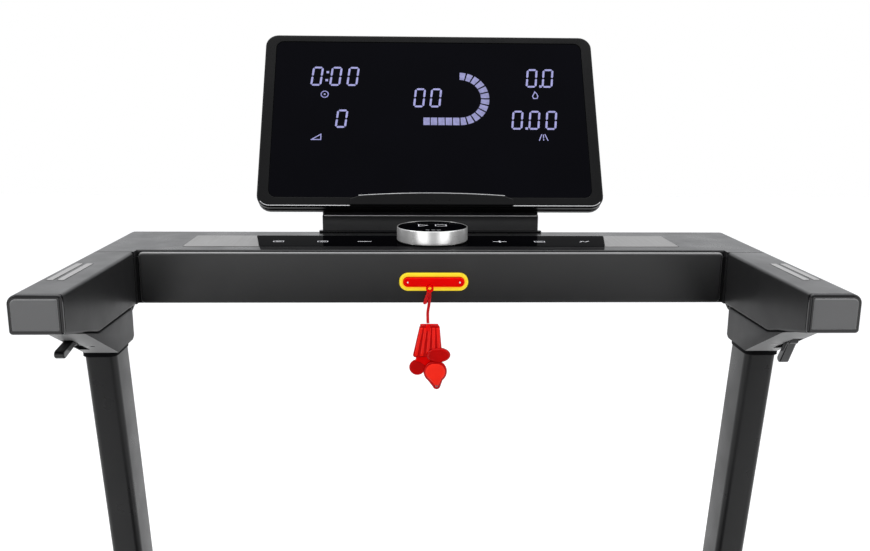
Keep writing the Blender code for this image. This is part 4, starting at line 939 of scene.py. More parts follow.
def build_panel(skins):
    """A glossy centre between two brushed plates."""
    near, far, bottom, top = PANEL_LOW.y, PANEL_HIGH.y, PANEL_LOW.z, PANEL_HIGH.z
    centre = [(-PANEL_NEAR_HALF, near), (PANEL_NEAR_HALF, near), (PANEL_FAR_HALF, far),
              (-PANEL_FAR_HALF, far)]
    panel = piece("panel_centre", prism(centre, "Z", bottom, top), skins["panel_black"], "head",
                  ["key_panel"])
    bevel(panel, 0.0004, 3)
    for side in (-1, 1):
        edge, corner = 0.0006, 0.0030
        outer = abs(PANEL_HIGH.x)
        plate = [(side * (PANEL_NEAR_HALF + edge), near)]
        plate += [(side * x, y) for x, y in arc((outer - corner, near + corner), corner, -90, 0, 5)]
        plate += [(side * x, y) for x, y in arc((outer - corner, far - corner), corner, 0, 90, 5)]
        plate += [(side * (PANEL_FAR_HALF + edge), far)]
        made = piece("panel_plate_" + side_name(side), prism(plate, "Z", bottom, top - 0.0001),
                     skins["plate_silver"], "head")
        bevel(made, 0.0004, 3)
    near, far = HEAD_Y + 0.0100, PANEL_LOW.y - 0.0010
    outline = [(-PANEL_NEAR_HALF + 0.004, near), (PANEL_NEAR_HALF - 0.004, near), (PANEL_NEAR_HALF, far),
               (-PANEL_NEAR_HALF, far)]
    strip = piece("panel_strip", prism(outline, "Z", RAIL_TOP - 0.0010, RAIL_TOP + 0.0003),
                  skins["strip_black"], "head")
    bevel(strip, 0.0003, 2)
    build_touch_icons(skins)


def stroke(bm, points, width, closed=False, thickness=0.00006, level=0.0):
    """A flat line along 2-D points, as thin raised strips; returns the mesh."""
    pairs = list(zip(points, points[1:]))
    if closed:
        pairs.append((points[-1], points[0]))
    for a, b in pairs:
        start, end = Vector(a), Vector(b)
        along = (end - start).normalized()
        side = Vector((-along.y, along.x)) * width / 2
        reach = along * width / 2
        outline = [start - side - reach, end - side + reach, end + side + reach, start + side - reach]
        prism([tuple(p) for p in outline], "Z", level, level + thickness, bm)
    return bm


def build_touch_icons(skins):
    """Small printed marks on the touch keys."""
    y, line, bold = 0.2756, 0.0011, 0.0017
    bm = bmesh.new()

    def mark(points, width=line, closed=False):
        stroke(bm, points, width, closed, level=PANEL_HIGH.z)

    def boxed_dash(left, right, dash_left, dash_right):
        mark(rounded_rectangle((left, y - 0.0034), (right, y + 0.0034), 0.0012, 2), closed=True)
        mark([(dash_left, y), (dash_right, y)])

    for x in (-0.166, -0.1185):
        boxed_dash(x - 0.0052, x + 0.0052, x - 0.0024, x + 0.0024)
    mark([(-0.0800, y), (-0.0670, y)], bold)
    mark([(0.0668, y), (0.0800, y)], bold)
    mark([(0.0734, y - 0.0042), (0.0734, y + 0.0042)], bold)
    boxed_dash(0.1117, 0.1223, 0.1145, 0.1195)
    mark([(0.1610, y - 0.0030), (0.1640, y + 0.0026), (0.1670, y - 0.0018), (0.1715, y + 0.0034)])
    piece("touch_icons", bm, skins["print"], "head")


def build_knob(skins):
    centre = (0.0, KNOB_Y)
    r, bottom, top = KNOB_R, KNOB_LOW.z, KNOB_HIGH.z
    skirt, base, wall = 0.0020, 0.0014, 0.0009
    ring = [(r - skirt, bottom), (r - skirt, bottom + base), (r - 0.0004, bottom + base),
            (r - 0.0001, bottom + base + 0.0002), (r, bottom + base + 0.0006), (r, top - 0.0007),
            (r - 0.0001, top - 0.0003), (r - 0.0004, top), (r - wall + 0.0001, top),
            (r - wall, top - 0.0003), (r - wall, bottom + 0.0030), (0.0035, bottom + 0.0030),
            (0.0035, bottom)]
    metal = piece("knob_ring_metal", turned(ring, "Z", centre, 128), skins["knob_metal"], "knob_ring",
                  ["knob_ring"], 60.0)
    even_shading(metal)
    inlay = [(r - wall - 0.0001, top - 0.0006), (r - wall - 0.0004, top - 0.0003), (r - 0.0043, top - 0.0002),
             (r - 0.0046, top - 0.0006), (r - 0.0046, bottom + 0.0032), (r - wall - 0.0001, bottom + 0.0032)]
    piece("knob_inlay", turned(inlay, "Z", centre, 96), skins["panel_black"], "knob_ring")
    # painted shade: a black ring in the gap under the knob's wall
    gap_shade_ring = [(r - 0.0019, 0.0001), (r - 0.0007, 0.0001), (r - 0.0007, 0.0008), (r - 0.0019, 0.0008)]
    dark = turned([(a, bottom + b) for a, b in gap_shade_ring], "Z", centre, 96)
    piece("knob_gap_shade", dark, skins["gloss_black"], "knob_ring")
    radius, cap_top = r - 0.0049, CAP_HIGH.z
    cap = [(0.0, CAP_LOW.z), (radius, CAP_LOW.z), (radius, cap_top - 0.0018),
           (radius - 0.0002, cap_top - 0.0010), (radius - 0.0007, cap_top - 0.0005),
           (radius - 0.0016, cap_top - 0.0003), (0.0, cap_top - 0.0002)]
    piece("knob_cap_glass", turned(cap, "Z", centre, 96), skins["panel_black"], "knob_cap",
          ["knob_cap"])
    build_cap_icons(skins, cap_top)


def build_cap_icons(skins, cap_top):
    """Start and stop marks, and a faint pointer near the front of the cap."""
    bm = bmesh.new()
    level = cap_top - 0.00022
    y = KNOB_Y + 0.0015
    stroke(bm, [(-0.0148, y - 0.0062), (-0.0148, y + 0.0062), (-0.0050, y)], 0.0011, True, level=level)
    stroke(bm, rounded_rectangle((0.0036, y - 0.0056), (0.0150, y + 0.0056), 0.0012, 2), 0.0011, True,
           level=level)
    front = KNOB_Y - 0.0300
    for x in (-0.0060, 0.0, 0.0060):
        stroke(bm, [(x - 0.0016, front), (x + 0.0016, front)], 0.0008, level=level)
    piece("knob_icons", bm, skins["print"], "knob_cap")


# ---------------------------------------------------------------- display
def display_matrix():
    lean, lift = sin(DISPLAY_TILT), cos(DISPLAY_TILT)
    foot_y, foot_z = DISPLAY_FOOT
    return Matrix(((1, 0, 0, 0), (0, lean, -lift, foot_y), (0, lift, lean, foot_z), (0, 0, 0, 1)))


def in_plane(bm):
    """Moves a mesh laid out as (across, up the face, out of the face) onto the display."""
    bmesh.ops.transform(bm, matrix=display_matrix(), verts=bm.verts)
    return bm


def face_ring(inset, level):
    outline = rounded_rectangle((-DISPLAY_HALF + inset, inset), (DISPLAY_HALF - inset, DISPLAY_H - inset),
                                DISPLAY_CORNER - inset, 8)
    return on_axis(outline, "Z", level)


def glass_ring(inset, level):
    outline = rounded_rectangle((-GLASS_U + inset, GLASS_LOW + inset), (GLASS_U - inset, GLASS_HIGH - inset),
                                0.0090 - inset, 8)
    return on_axis(outline, "Z", level)


def build_display(skins):
    round_over = [(0.0, -0.0058), (0.0, -0.0022), (0.0001, -0.0015), (0.0004, -0.0009), (0.0009, -0.0004),
                  (0.0015, -0.0001), (0.0022, 0.0)]
    rings = [face_ring(inset, level) for inset, level in round_over]
    rings += [glass_ring(inset, level) for inset, level in ((-0.0007, 0.0), (-0.0002, -0.0002),
                                                           (0.0, -0.0006), (0.0, -0.0058))]
    bezel = piece("display_frame", in_plane(loft(rings, True)), skins["bezel_black"], "head",
                  ["display_bezel"])
    even_shading(bezel)
    pane = loft([glass_ring(0.0003, -0.0030), glass_ring(0.0003, -0.0007), glass_ring(0.0006, -0.0005)])
    glass = piece("display_pane", in_plane(pane), skins["glass_black"], "head",
                  ["display_glass"])
    even_shading(glass)
    build_media_lip(skins)
    build_digits(skins)
    build_gauge(skins)
    build_display_icons(skins)


def build_media_lip(skins):
    """A glossy ledge along the foot of the display, which holds a phone or a book."""
    left, right, low, high, rise = -0.0925, 0.0940, 0.0008, 0.0118, 0.0040
    middle = (left + right) / 2
    outline = [(left, low), (right, low), (right, high - 0.0030)]
    steps = 18
    for i in range(1, steps):
        share = i / steps
        u = right + (left - right) * share
        outline.append((u, high + rise * (1 - ((u - middle) / (right - middle)) ** 2)))
    outline.append((left, high - 0.0030))
    lip = piece("media_lip", in_plane(prism(outline, "Z", -0.0004, 0.0036)), skins["bezel_black"], "head")
    bevel(lip, 0.0014, 4, 30.0)
    # a painted highlight: a fine bright strip along the lip's curved top edge
    bm = stroke(bmesh.new(), outline[3:-1], 0.0005, level=0.0036)
    piece("media_lip_highlight", in_plane(bm), skins["painted_highlight"], "head")
    build_painted_highlights(skins)


def build_painted_highlights(skins):
    """Painted highlights: fine bright strips along the lower edge of the display and the top of its foot."""
    reach, inset = DISPLAY_HALF - DISPLAY_CORNER, 0.0016
    corner = arc((reach, DISPLAY_CORNER), DISPLAY_CORNER - inset, -90, -40, 6)
    line = [(-u, v) for u, v in reversed(corner)] + corner
    bm = stroke(bmesh.new(), line, 0.0007, thickness=0.0003, level=0.0)
    piece("display_painted_highlight", in_plane(bm), skins["painted_highlight"], "head")
    y, z = HEAD_Y + 0.1178, 1.0400
    piece("display_foot_painted_highlight", box((NECK_LOW.x + 0.002, y, z - 0.0007), (NECK_HIGH.x - 0.002, y + 0.0008, z)),
          skins["painted_highlight"], "head")


DIGIT_W, DIGIT_STROKE, DIGIT_SLANT = 0.0138, 0.0024, tan(radians(6.0))
SEGMENT_GAP = 0.0005
GLOW_LEVEL = -0.0005


def lit(bm, outline):
    """A thin glowing shape behind the glass."""
    prism(outline, "Z", GLOW_LEVEL, GLOW_LEVEL + 0.0001, bm)


def bar(bm, start, end, width, foot):
    """A segment with pointed ends, leaning with the digit that stands on foot."""
    a, b = Vector(start), Vector(end)
    along = (b - a).normalized()
    side = Vector((-along.y, along.x)) * width / 2
    a, b = a + along * SEGMENT_GAP, b - along * SEGMENT_GAP
    point = along * width / 2
    outline = [a, a + point + side, b - point + side, b, b - point - side, a + point - side]
    lit(bm, [(p.x + (p.y - foot) * DIGIT_SLANT, p.y) for p in outline])


def zero(bm, left, foot, height):
    """A lit 0: every segment but the middle one."""
    inset = DIGIT_STROKE / 2
    lean = height * DIGIT_SLANT / 2
    low_x, high_x = left + inset - lean / 2, left + DIGIT_W - inset - lean
    low, high, middle = foot + inset, foot + height - inset, foot + height / 2
    for start, end in (((low_x, low), (high_x, low)), ((low_x, high), (high_x, high)),
                       ((low_x, low), (low_x, middle)), ((low_x, middle), (low_x, high)),
                       ((high_x, low), (high_x, middle)), ((high_x, middle), (high_x, high))):
        bar(bm, start, end, DIGIT_STROKE, foot)


def dot(bm, u, v, size=0.0030):
    half = size / 2
    lit(bm, [(u - half, v - half), (u + half, v - half), (u + half, v + half), (u - half, v + half)])


def build_digits(skins):
    """The readings of a machine at rest: time, speed, distance and so on, all at zero."""
    readouts = (
        ((-0.1420, -0.1196, -0.0992), 0.1573, 0.0262),
        ((-0.1114,), 0.1009, 0.0243),
        ((-0.0197, -0.0005), 0.1289, 0.0258),
        ((0.1155, 0.1348), 0.1568, 0.0256),
        ((0.0959, 0.1160, 0.1361), 0.0998, 0.0253),
    )
    bm = bmesh.new()
    for lefts, foot, height in readouts:
        for left in lefts:
            zero(bm, left, foot, height)
    for u, v in ((-0.1232, 0.1650), (-0.1222, 0.1760), (0.1329, 0.1584), (0.1136, 0.1014)):
        dot(bm, u, v)
    piece("display_digits", in_plane(bm), skins["glow"], "head")


def build_gauge(skins):
    """A row of lit blocks that curves round the middle reading and ends in a straight run."""
    centre = (0.0350, 0.1410)
    inner, outer = 0.0258, 0.0357
    bm = bmesh.new()
    blocks, gap = 12, 3.2
    step = 180.0 / blocks
    for i in range(blocks):
        start, end = 90 - step * i - gap / 2, 90 - step * (i + 1) + gap / 2
        lit(bm, arc(centre, outer, start, end, 3) + arc(centre, inner, end, start, 3))
    low, high = centre[1] - outer, centre[1] - inner
    run, count = 0.0437, 5
    width = run / count
    for i in range(count):
        right = centre[0] - width * i - 0.0006
        left = right - width + 0.0012
        lit(bm, [(left, low), (right, low), (right, high), (left, high)])
    piece("display_gauge", in_plane(bm), skins["dim_glow"], "head")


def build_display_icons(skins):
    """Small lit symbols beside the readings: a dial, a slope, a flame and a road."""
    bm = bmesh.new()

    def mark(points, closed=False):
        stroke(bm, points, 0.0011, closed, level=GLOW_LEVEL)

    dial = (-0.1250, 0.1458)
    mark(circle(dial, 0.0042, 24), True)
    dot(bm, *dial, 0.0020)
    u, v = -0.1332, 0.0889
    mark([(u - 0.0055, v - 0.0035), (u + 0.0055, v - 0.0035), (u + 0.0055, v + 0.0035)], True)
    u, v = 0.1258, 0.1461
    mark([(u - 0.0002, v + 0.0050), (u + 0.0022, v + 0.0018), (u + 0.0032, v - 0.0012),
          (u + 0.0020, v - 0.0042), (u - 0.0020, v - 0.0042), (u - 0.0032, v - 0.0012),
          (u - 0.0018, v + 0.0014)], True)
    u, v = 0.1329, 0.0896
    for side in (-1, 1):
        mark([(u + side * 0.0050, v - 0.0038), (u + side * 0.0020, v + 0.0038)])
    for low in (-0.0034, -0.0004, 0.0020):
        mark([(u, v + low), (u, v + low + 0.0012)])
    piece("display_icons", in_plane(bm), skins["glow"], "head")


def build_neck(skins):
    """A wide curved foot behind the display, wrapped over the rear edge of the crossbar."""
    lean, lift = sin(DISPLAY_TILT), cos(DISPLAY_TILT)
    corner_y = DISPLAY_FOOT[0] + DISPLAY_T * lift
    corner_z = DISPLAY_FOOT[1] - DISPLAY_T * lean
    clear, top = 0.0008, RAIL_TOP + GAP
    y = HEAD_Y
    outline = [(y + 0.1180, top), (y + 0.1180, 1.0395), (y + 0.1188, 1.0408)]
    outline += [(corner_y + clear, corner_z - clear)]
    outline += [(corner_y + clear * lift + 0.034 * lean, corner_z - clear * lean + 0.034 * lift)]
    outline += arc((y + 0.1440, 1.0600), 0.0075, 70, 0, 10)
    rear = BAR_REAR + GAP
    outline += [(y + 0.1515, 0.9900), (rear, 0.9860), (rear, top)]
    neck = piece("display_foot", prism(outline, "X", NECK_LOW.x, NECK_HIGH.x), skins["neck_plastic"], "head",
                 ["display_neck"])
    bevel(neck, 0.0016, 3, 32.0)
    flange = rounded_rectangle((NECK_LOW.x - 0.0040, y + 0.1150), (NECK_HIGH.x + 0.0040, y + 0.1236),
                               0.0030, 4)
    plate = piece("display_foot_flange", prism(flange, "Z", top - 0.0003, top + 0.0022),
                  skins["gloss_black"], "head")
    bevel(plate, 0.0009, 3)


# ---------------------------------------------------------------- safety key and clip
def build_socket(skins):
    """A yellow ring let into the front of the crossbar."""
    outer, inner = (0.0710, 0.0185), (0.0642, 0.0108)
    front, rear = HEAD_Y - 0.0015, HEAD_Y + 0.0160

    def ring(size, grow, level):
        return on_axis(stadium((0, KEY_Z), size[0] + grow, size[1] + grow, 20), "Y", level)

    rings = [ring(outer, 0.0, rear), ring(outer, 0.0, front + 0.0008), ring(outer, -0.0005, front + 0.0003),
             ring(outer, -0.0014, front), ring(inner, 0.0012, front), ring(inner, 0.0003, front + 0.0003),
             ring(inner, 0.0, front + 0.0010), ring(inner, 0.0, HEAD_Y + 0.0130)]
    socket = piece("key_ring", loft(rings, True), skins["key_yellow"], "head", ["key_socket"])
    even_shading(socket)


def build_key(skins):
    """The magnetic key: a flat rounded bar with a small eye for the lanyard."""
    low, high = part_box("safety_key")
    front, rear = HEAD_Y - 0.0045, high.y
    rings = []
    for inset, level in ((0.0026, 0.0), (0.0014, 0.0002), (0.0006, 0.0007), (0.0002, 0.0014), (0.0, 0.0024)):
        rings.append(on_axis(stadium((0, KEY_Z), 0.0634 - 2 * inset, 0.0100 - 2 * inset, 18), "Y",
                             front + level))
    rings.append(on_axis(stadium((0, KEY_Z), 0.0634, 0.0100, 18), "Y", rear))
    key = piece("key_bar", loft(rings), skins["key_red"], "safety_key", ["safety_key"])
    even_shading(key)
    eye = (-0.0042, KEY_Z - 0.0058)
    inner, outer, near, far = 0.0019, 0.0040, low.y, front + 0.0012
    section = [(inner, near + 0.0008), (inner + 0.0004, near + 0.0002), (inner + 0.0010, near),
               (outer - 0.0010, near), (outer - 0.0003, near + 0.0003), (outer, near + 0.0010), (outer, far),
               (inner, far)]
    piece("key_eye", turned(section, "Y", eye, 40), skins["key_red"], "safety_key")
    # painted glints: two small bright domes at the ends of the key
    bm = bmesh.new()
    for x in (-0.0268, 0.0268):
        ball((x, front + 0.0003, KEY_Z), (0.0010, 0.0009, 0.0010), bm, 20, 12)
    piece("key_glint_dots", bm, skins["painted_highlight"], "safety_key")


def build_lanyard_tail(skins):
    """The cord's whipped tail beside its knot at the key."""
    route = ((-0.0044, HEAD_Y - 0.0062, KEY_Z - 0.0074), (-0.0058, HEAD_Y - 0.0066, KEY_Z - 0.0110),
             (-0.0076, HEAD_Y - 0.0072, KEY_Z - 0.0160), (-0.0094, HEAD_Y - 0.0080, KEY_Z - 0.0218))
    points = smooth_route(route, 5)
    rings = []
    for i, (x, y, z) in enumerate(points):
        swell = 0.0010 if i == len(points) - 1 else 0.0019 + 0.0003 * sin(i * 1.9)
        turns = [2 * pi * k / 14 for k in range(14)]
        rings.append([(x + swell * cos(t), y + swell * sin(t), z) for t in turns])
    piece("lanyard_tail", loft(rings), skins["cord_red"], "safety_key", smooth=60.0)


def cushion(outline, low, high, radius, axis="Y", bm=None):
    """An outline extruded along an axis with its two rims rounded over."""
    centre = (sum(a for a, _ in outline) / len(outline), sum(b for _, b in outline) / len(outline))
    steps = 5
    angles = [pi / 2 * k / steps for k in range(steps + 1)]
    rings = [(radius * (1 - sin(angle)), low + radius * (1 - cos(angle))) for angle in angles]
    rings += [(radius * (1 - cos(angle)), high - radius * (1 - sin(angle))) for angle in angles]
    loops = []
    for inset, level in rings:
        moved = []
        for a, b in outline:
            reach = hypot(a - centre[0], b - centre[1])
            share = max(0.2, 1 - inset / reach)
            moved.append((centre[0] + (a - centre[0]) * share, centre[1] + (b - centre[1]) * share))
        loops.append(on_axis(moved, axis, level))
    return loft(loops, bm=bm)


def refined(outline, count):
    """The same closed outline with count points along each of its edges."""
    points = []
    for (a, b), (c, d) in zip(outline, outline[1:] + outline[:1]):
        points += [(a + (c - a) * k / count, b + (d - b) * k / count) for k in range(count)]
    return points


def build_clip(skins):
    """A sprung clothing clip: ribbed grip, round lobe and a drop-shaped nose, with a jaw behind."""
    front, middle = HEAD_Y - 0.0150, HEAD_Y - 0.0112
    top, foot = 0.9438, 0.9112

    def edges(z):
        share = (top - z) / (top - foot)
        return -0.0148 - 0.0072 * share, 0.0061 + 0.0030 * share

    grip = [edges(top)[0] + 0.0012, edges(top)[1] - 0.0012]
    outline = [(grip[0], top + 0.0016), (edges(top)[0], top), (edges(foot + 0.002)[0], foot + 0.002),
               (edges(foot)[0] + 0.0018, foot), (edges(foot)[1], foot), (edges(top)[1], top),
               (grip[1], top + 0.0016)]
    bm = prism(outline, "Y", front + 0.0012, middle)
    # the grip, lobe, nose and jaw foot take the darker copy of the red as painted shade, the nose face the
    # lighter copy as painted highlight
    body = piece("clip_grip", bm, skins["shaded_red"], "safety_key", ["clip_body"])
    bevel(body, 0.0009, 4, 30.0)
    ribs = bmesh.new()
    for share in (0.10, 0.30, 0.50, 0.70, 0.90):
        upper_z, lower_z, half = top - 0.0009, foot + 0.0018, 0.0015
        rib = []
        for z, end in ((upper_z, 1), (lower_z, -1)):
            left, right = edges(z)
            x = left + (right - left) * share
            rib += [(x - end * half, z), (x + end * half, z)]
        cushion(refined(rib, 6), front, front + 0.0022, 0.0009, "Y", ribs)
    piece("clip_ribs", ribs, skins["clip_red"], "safety_key", smooth=50.0)
    lobe = [(0.0048 + 0.0125 * cos(t), 0.9140 + 0.0078 * sin(t)) for t in
            (2 * pi * k / 40 for k in range(40))]
    piece("clip_lobe", cushion(lobe, front - 0.0024, middle, 0.0026), skins["shaded_red"], "safety_key",
          smooth=60.0)
    nose_centre, nose_r = (0.0017, 0.8960), 0.0122
    nose = arc(nose_centre, nose_r, 72, -50, 18) + arc((0.0032, 0.8806), 0.0040, -20, -160, 8)
    nose += arc(nose_centre, nose_r, 230, 108, 18)
    drop = piece("clip_nose", cushion(nose, front - 0.0016, middle, 0.0026), skins["shaded_red"],
                 "safety_key", smooth=60.0)
    rim = [(0.0017 + (x - 0.0017) * 0.84, 0.8965 + (z - 0.8965) * 0.76) for x, z in nose]
    inner = cushion(rim, front - 0.0026, front, 0.0012)
    piece("clip_nose_face", inner, skins["lit_red"], "safety_key", smooth=60.0)
    cut(drop, prism(circle((0.0032, 0.8812), 0.0015, 20), "Y", front - 0.01, middle + 0.01))
    refine(drop, 60.0)
    boss = [(0.0, 0.9400), (0.0026, 0.9402), (0.0027, 0.9440), (0.0025, 0.9462), (0.0018, 0.9467),
            (0.0, 0.9467)]
    piece("clip_boss", turned(boss, "Z", (-0.0060, HEAD_Y - 0.0131), 28), skins["key_red"], "safety_key")
    build_jaw(skins, middle)


def build_jaw(skins, middle):
    """The moving jaw with a round foot at the left and a thumb lever behind the grip."""
    back = HEAD_Y - 0.0080
    near = middle + GAP
    jaw = [(-0.0170, 0.9180), (0.0060, 0.9180), (0.0075, 0.9120), (0.0030, 0.9010), (-0.0080, 0.9010),
           (-0.0190, 0.9060)]
    made = piece("jaw_plate", prism(jaw, "Y", near, back), skins["key_red"], "clip_jaw",
                 ["clip_jaw"])
    bevel(made, 0.0009, 3, 30.0)
    foot = circle((-0.0168, 0.8993), 0.0085, 40)
    piece("jaw_foot", cushion(foot, near, back, 0.0015), skins["shaded_red"], "clip_jaw",
          smooth=60.0)
    lever = [(near, 0.9150), (near, 0.9180), (middle + 0.0072, 0.9440), (back + 0.0068, 0.9440),
             (back, 0.9150)]
    thumb = piece("jaw_lever", prism(lever, "X", -0.0140, 0.0050), skins["key_red"], "clip_jaw")
    bevel(thumb, 0.0009, 3, 30.0)


# ---------------------------------------------------------------- uprights and levers
def build_upright(side, skins):
    """A leaning hollow tube with a finely rounded section and a bore for its fold pin."""
    low_x, high_x = UPRIGHT_X - UPRIGHT_W / 2, UPRIGHT_X + UPRIGHT_W / 2
    foot, head, wall, corner = 0.150, 0.950, 0.002, 0.0065
    rings = []
    for inset, heights in ((0.0, (foot, 0.40, 0.70, head)), (wall, (head, foot))):
        for z in heights:
            y, half = upright_centre(z), UPRIGHT_D / 2 - inset
            outline = rounded_rectangle((low_x + inset, y - half), (high_x - inset, y + half),
                                        corner - inset, 8)
            rings.append([(side * a, b, z) for a, b in outline])
    tube = piece("upright_tube_" + side_name(side), loft(rings, True), skins["upright_paint"], "uprights",
                 ["upright_" + side_name(side)])
    low, high = span(side, low_x - 0.002, high_x + 0.002)
    cut(tube, prism(circle((0.300, 0.170), 0.0065, 32), "X", low, high))
    refine(tube)


def build_lever(side, angle, skins):
    """A release lever with a rounded blade; its angle is measured from straight down."""
    name = "lever_" + side_name(side)
    pivot = (HEAD_Y - 0.108, 0.9585)
    length, hub, tip_r, x, width = 0.028, 0.0050, 0.0038, 0.330, 0.009
    down = -90 + angle
    heading = radians(down)
    tip = (pivot[0] + length * cos(heading), pivot[1] + length * sin(heading))
    outline = arc(tip, tip_r, down - 90, down + 90, 14)
    outline += arc(pivot, hub, down + 40, down + 320, 28)
    low, high = span(side, x - width / 2, x + width / 2)
    blade = piece(name + "_blade", prism(outline, "X", low, high), skins["gloss_black"], name,
                  [name], 30.0)
    bevel(blade, 0.0013, 4, 50.0)


def screw(bm, centre, normal, radius=0.0032):
    """A pan-head screw with a cross recess, standing out along normal."""
    turn = Vector((0, 0, 1)).rotation_difference(Vector(normal)).to_matrix().to_4x4()
    place = Matrix.Translation(centre) @ turn
    part = bmesh.new()
    head = [(0.0, -0.0010), (radius, -0.0010), (radius, 0.0003), (radius * 0.88, 0.0010),
            (radius * 0.55, 0.0014), (0.0, 0.0015)]
    turned(head, "Z", (0, 0), 28, part)
    for a, b in ((radius * 0.5, radius * 0.13), (radius * 0.13, radius * 0.5)):
        box((-a, -b, 0.0010), (a, b, 0.00165), part)
    add_part(bm, part, place)


def build_bracket_details(skins):
    """A small dark mark in the sloped underside of each bracket, painted shade standing in for a slot."""
    high, low = Vector((HEAD_Y - 0.1465, 0.9758)), Vector((HEAD_Y - 0.065, 0.9330))
    along = (low - high).normalized()
    out = Vector((along.y, -along.x))
    bm = bmesh.new()
    for side in (-1, 1):
        part = prism(stadium((0.0, 0.0), 0.0085, 0.0022, 10), "Z", -0.0010, 0.00015)
        point = high + 0.058 * along
        turn = Matrix(((1, 0, 0), (0, along.x, out.x), (0, along.y, out.y))).to_4x4()
        place = Matrix.Translation((side * 0.3190, point.x, point.y)) @ turn
        add_part(bm, part, place)
    piece("bracket_slot_shades", bm, skins["gloss_black"], "uprights")


# ---------------------------------------------------------------- running deck
def build_foot_rails(skins):
    """Raised grip ribs along the tops of the foot rails."""
    top = FOOT_HIGH.z
    near, far = FOOT_LOW.y + 0.020, FOOT_HIGH.y - 0.020
    for side in (-1, 1):
        bm = bmesh.new()
        for i in range(7):
            x = FOOT_LOW.x + 0.018 + 0.0105 * i
            low, high = span(side, x - 0.0020, x + 0.0020)
            outline = rounded_rectangle((low, near), (high, far), 0.0018, 4)
            prism(outline, "Z", top - 0.0030, top - 0.0001, bm)
        ribs = piece("foot_rail_grip_" + side_name(side), bm, skins["rubber"], "base")
        bevel(ribs, 0.0006, 2, 50.0)
        low, high = span(side, FOOT_HIGH.x - 0.0002, FOOT_HIGH.x)
        strip = piece("foot_rail_line_" + side_name(side),
                      box((low, near, 0.078), (high, far, 0.081)), skins["silver"], "base")
        bevel(strip, 0.00008, 1)


def build_rear_caps(skins):
    """Adjusting screws and grip lines on the caps at the rear of the deck."""
    bm = bmesh.new()
    lines = bmesh.new()
    for side in (-1, 1):
        screw(bm, (side * 0.270, CAP_END_LOW.y + 0.0020, 0.075), (0, -1, 0), 0.0055)
        for i in range(4):
            z = 0.094 + 0.0055 * i
            low, high = span(side, 0.226, 0.288)
            box((low, CAP_END_LOW.y + 0.0001, z), (high, CAP_END_LOW.y + 0.0010, z + 0.0024), lines)
    piece("rear_cap_screws", bm, skins["steel"], "base")
    grips = piece("rear_cap_lines", lines, skins["rubber"], "base")
    bevel(grips, 0.0003, 2)


def build_hood(skins):
    """Louvres drawn as dark strips of painted shade, and screws on the hood over the drive."""
    vent_shade_mesh = bmesh.new()
    top = HOOD_HIGH.z
    for side in (-1, 1):
        for i in range(9):
            y = 0.470 + 0.012 * i
            low, high = span(side, 0.120, 0.215)
            outline = rounded_rectangle((low, y - 0.0028), (high, y + 0.0028), 0.0026, 4)
            prism(outline, "Z", top - 0.0040, top - 0.0002, vent_shade_mesh)
    # painted shade: dark strips standing in for the shade inside vent slots
    vent_shades = piece("hood_vent_shades", vent_shade_mesh, skins["gloss_black"], "base")
    bevel(vent_shades, 0.0005, 2)
    bm = bmesh.new()
    for side in (-1, 1):
        for y in (0.360, 0.600):
            screw(bm, (side * (HOOD_HIGH.x - 0.0016), y, 0.066), (side, 0, 0), 0.0042)
    piece("hood_screws", bm, skins["steel"], "base")


def build_inlet(skins):
    """Three blade contacts in the power inlet."""
    low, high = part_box("power_inlet")
    bm = bmesh.new()
    middle = (-0.2130 + -0.1870) / 2
    for x, z in ((middle - 0.0070, 0.0765), (middle, 0.0800), (middle + 0.0070, 0.0765)):
        box((x - 0.0010, high.y - 0.0165, z - 0.0025), (x + 0.0010, high.y - 0.0045, z + 0.0025), bm)
    pins = piece("inlet_contacts", bm, skins["steel"], "base")
    bevel(pins, 0.0003, 2)


def build_wheel_caps(skins):
    """A small domed cap in the middle of each transport wheel and each lock knob."""
    for side in (-1, 1):
        name = "wheel_" + side_name(side)
        low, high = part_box("transport_wheel_" + side_name(side))
        outer = high.x if side > 0 else low.x
        centre = ((low.y + high.y) / 2, (low.z + high.z) / 2)
        profile = [(0.0050, outer - side * 0.0014), (0.0092, outer - side * 0.0014),
                   (0.0088, outer - side * 0.0004), (0.0070, outer), (0.0050, outer)]
        piece("wheel_cap_" + side_name(side), turned(profile, "X", centre, 40), skins["gloss_black"], name)
        name = "lock_knob_" + side_name(side)
        low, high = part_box(name)
        outer = high.x if side > 0 else low.x
        y = upright_centre(0.198)
        profile = [(0.0, outer - side * 0.0008), (0.0085, outer - side * 0.0008),
                   (0.0080, outer - side * 0.0003), (0.0060, outer), (0.0, outer)]
        piece("lock_knob_cap_" + side_name(side), turned(profile, "X", (y, 0.198), 40), skins["silver"], name)


def build_belt_mark(skins):
    """The vulcanised splice across the running belt."""
    bm = bmesh.new()
    count, y, half = 41, -0.230, BELT_HIGH.x - 0.0040
    step = 2 * half / (count - 1)
    for i in range(count - 1):
        x = -half + step * i
        a, b = (x, y + 0.006 * (i % 2)), (x + step, y + 0.006 * ((i + 1) % 2))
        outline = [a, b, (b[0], b[1] + 0.0012), (a[0], a[1] + 0.0012)]
        prism(outline, "Z", BELT_HIGH.z - 0.0006, BELT_HIGH.z - 0.00002, bm)
    piece("belt_splice", bm, skins["rubber"], "base")


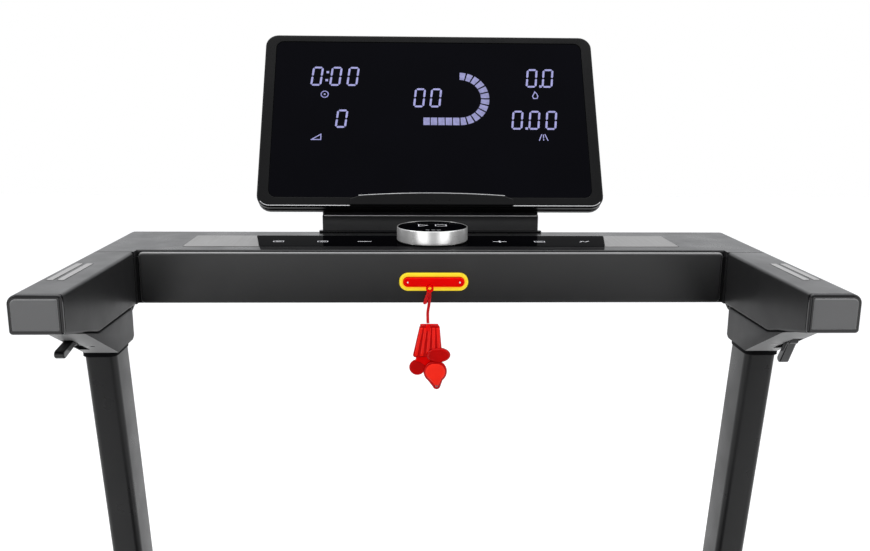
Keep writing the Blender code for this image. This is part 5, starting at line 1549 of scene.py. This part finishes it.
CAD_SKINS = {
    "frame_paint": ("frame_rail_left", "frame_rail_right", "frame_crossmember_front",
                    "frame_crossmember_rear", "upright_cross_tube", "base_bracket_left",
                    "base_bracket_right", "motor_pan", "lift_frame"),
    "deck_board": ("running_board",),
    "belt_rubber": ("running_belt",),
    "steel": ("front_axle", "rear_axle", "front_roller", "rear_roller", "motor_flywheel", "actuator_rod"),
    "cast_iron": ("drive_motor", "incline_actuator"),
    "controller_aluminium": ("motor_controller",),
    "rubber": ("drive_belt", "rear_foot_left", "rear_foot_right", "transport_wheel_left",
               "transport_wheel_right"),
    "cover_plastic": ("motor_cover", "foot_rail_left", "foot_rail_right", "rear_cap_left",
                      "rear_cap_right"),
    "gloss_black": ("power_inlet", "lock_knob_left", "lock_knob_right"),
    "key_red": ("power_switch",),
    "bracket_plastic": ("bracket_left", "bracket_right"),
    "bezel_black": ("display_back_shell",),
    "board_green": ("display_board",),
    "silver": ("knob_encoder",),
}


def dress_cad_nodes(skins):
    """Gives every CAD node that stays visible a procedural finish and clean shading."""
    for skin, names in CAD_SKINS.items():
        for name in names:
            node = NODES[name]
            node.data.materials.clear()
            node.data.materials.append(skins[skin])
            custom = node.data.attributes.get("custom_normal")
            if custom:
                node.data.attributes.remove(custom)
            node.data.shade_smooth()
            weld = node.modifiers.new("Weld", "WELD")
            weld.merge_threshold = 0.000001
            split = node.modifiers.new("Split", "EDGE_SPLIT")
            split.split_angle = radians(32)


# ---------------------------------------------------------------- everything
def main():
    make_camera()
    skins = make_skins()
    cord, length = make_lanyard(skins)
    make_studio()
    dress_cad_nodes(skins)
    for side in (-1, 1):
        build_handrail(side, skins)
        build_upright(side, skins)
    build_crossbar(skins)
    build_panel(skins)
    build_knob(skins)
    build_display(skins)
    build_neck(skins)
    build_socket(skins)
    build_key(skins)
    build_lanyard_tail(skins)
    build_clip(skins)
    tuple(LANYARD_ROUTE[0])
    build_lever(-1, -81.0, skins)
    build_lever(1, 32.0, skins)
    build_bracket_details(skins)
    build_foot_rails(skins)
    build_rear_caps(skins)
    build_hood(skins)
    build_inlet(skins)
    build_wheel_caps(skins)
    build_belt_mark(skins)


main()
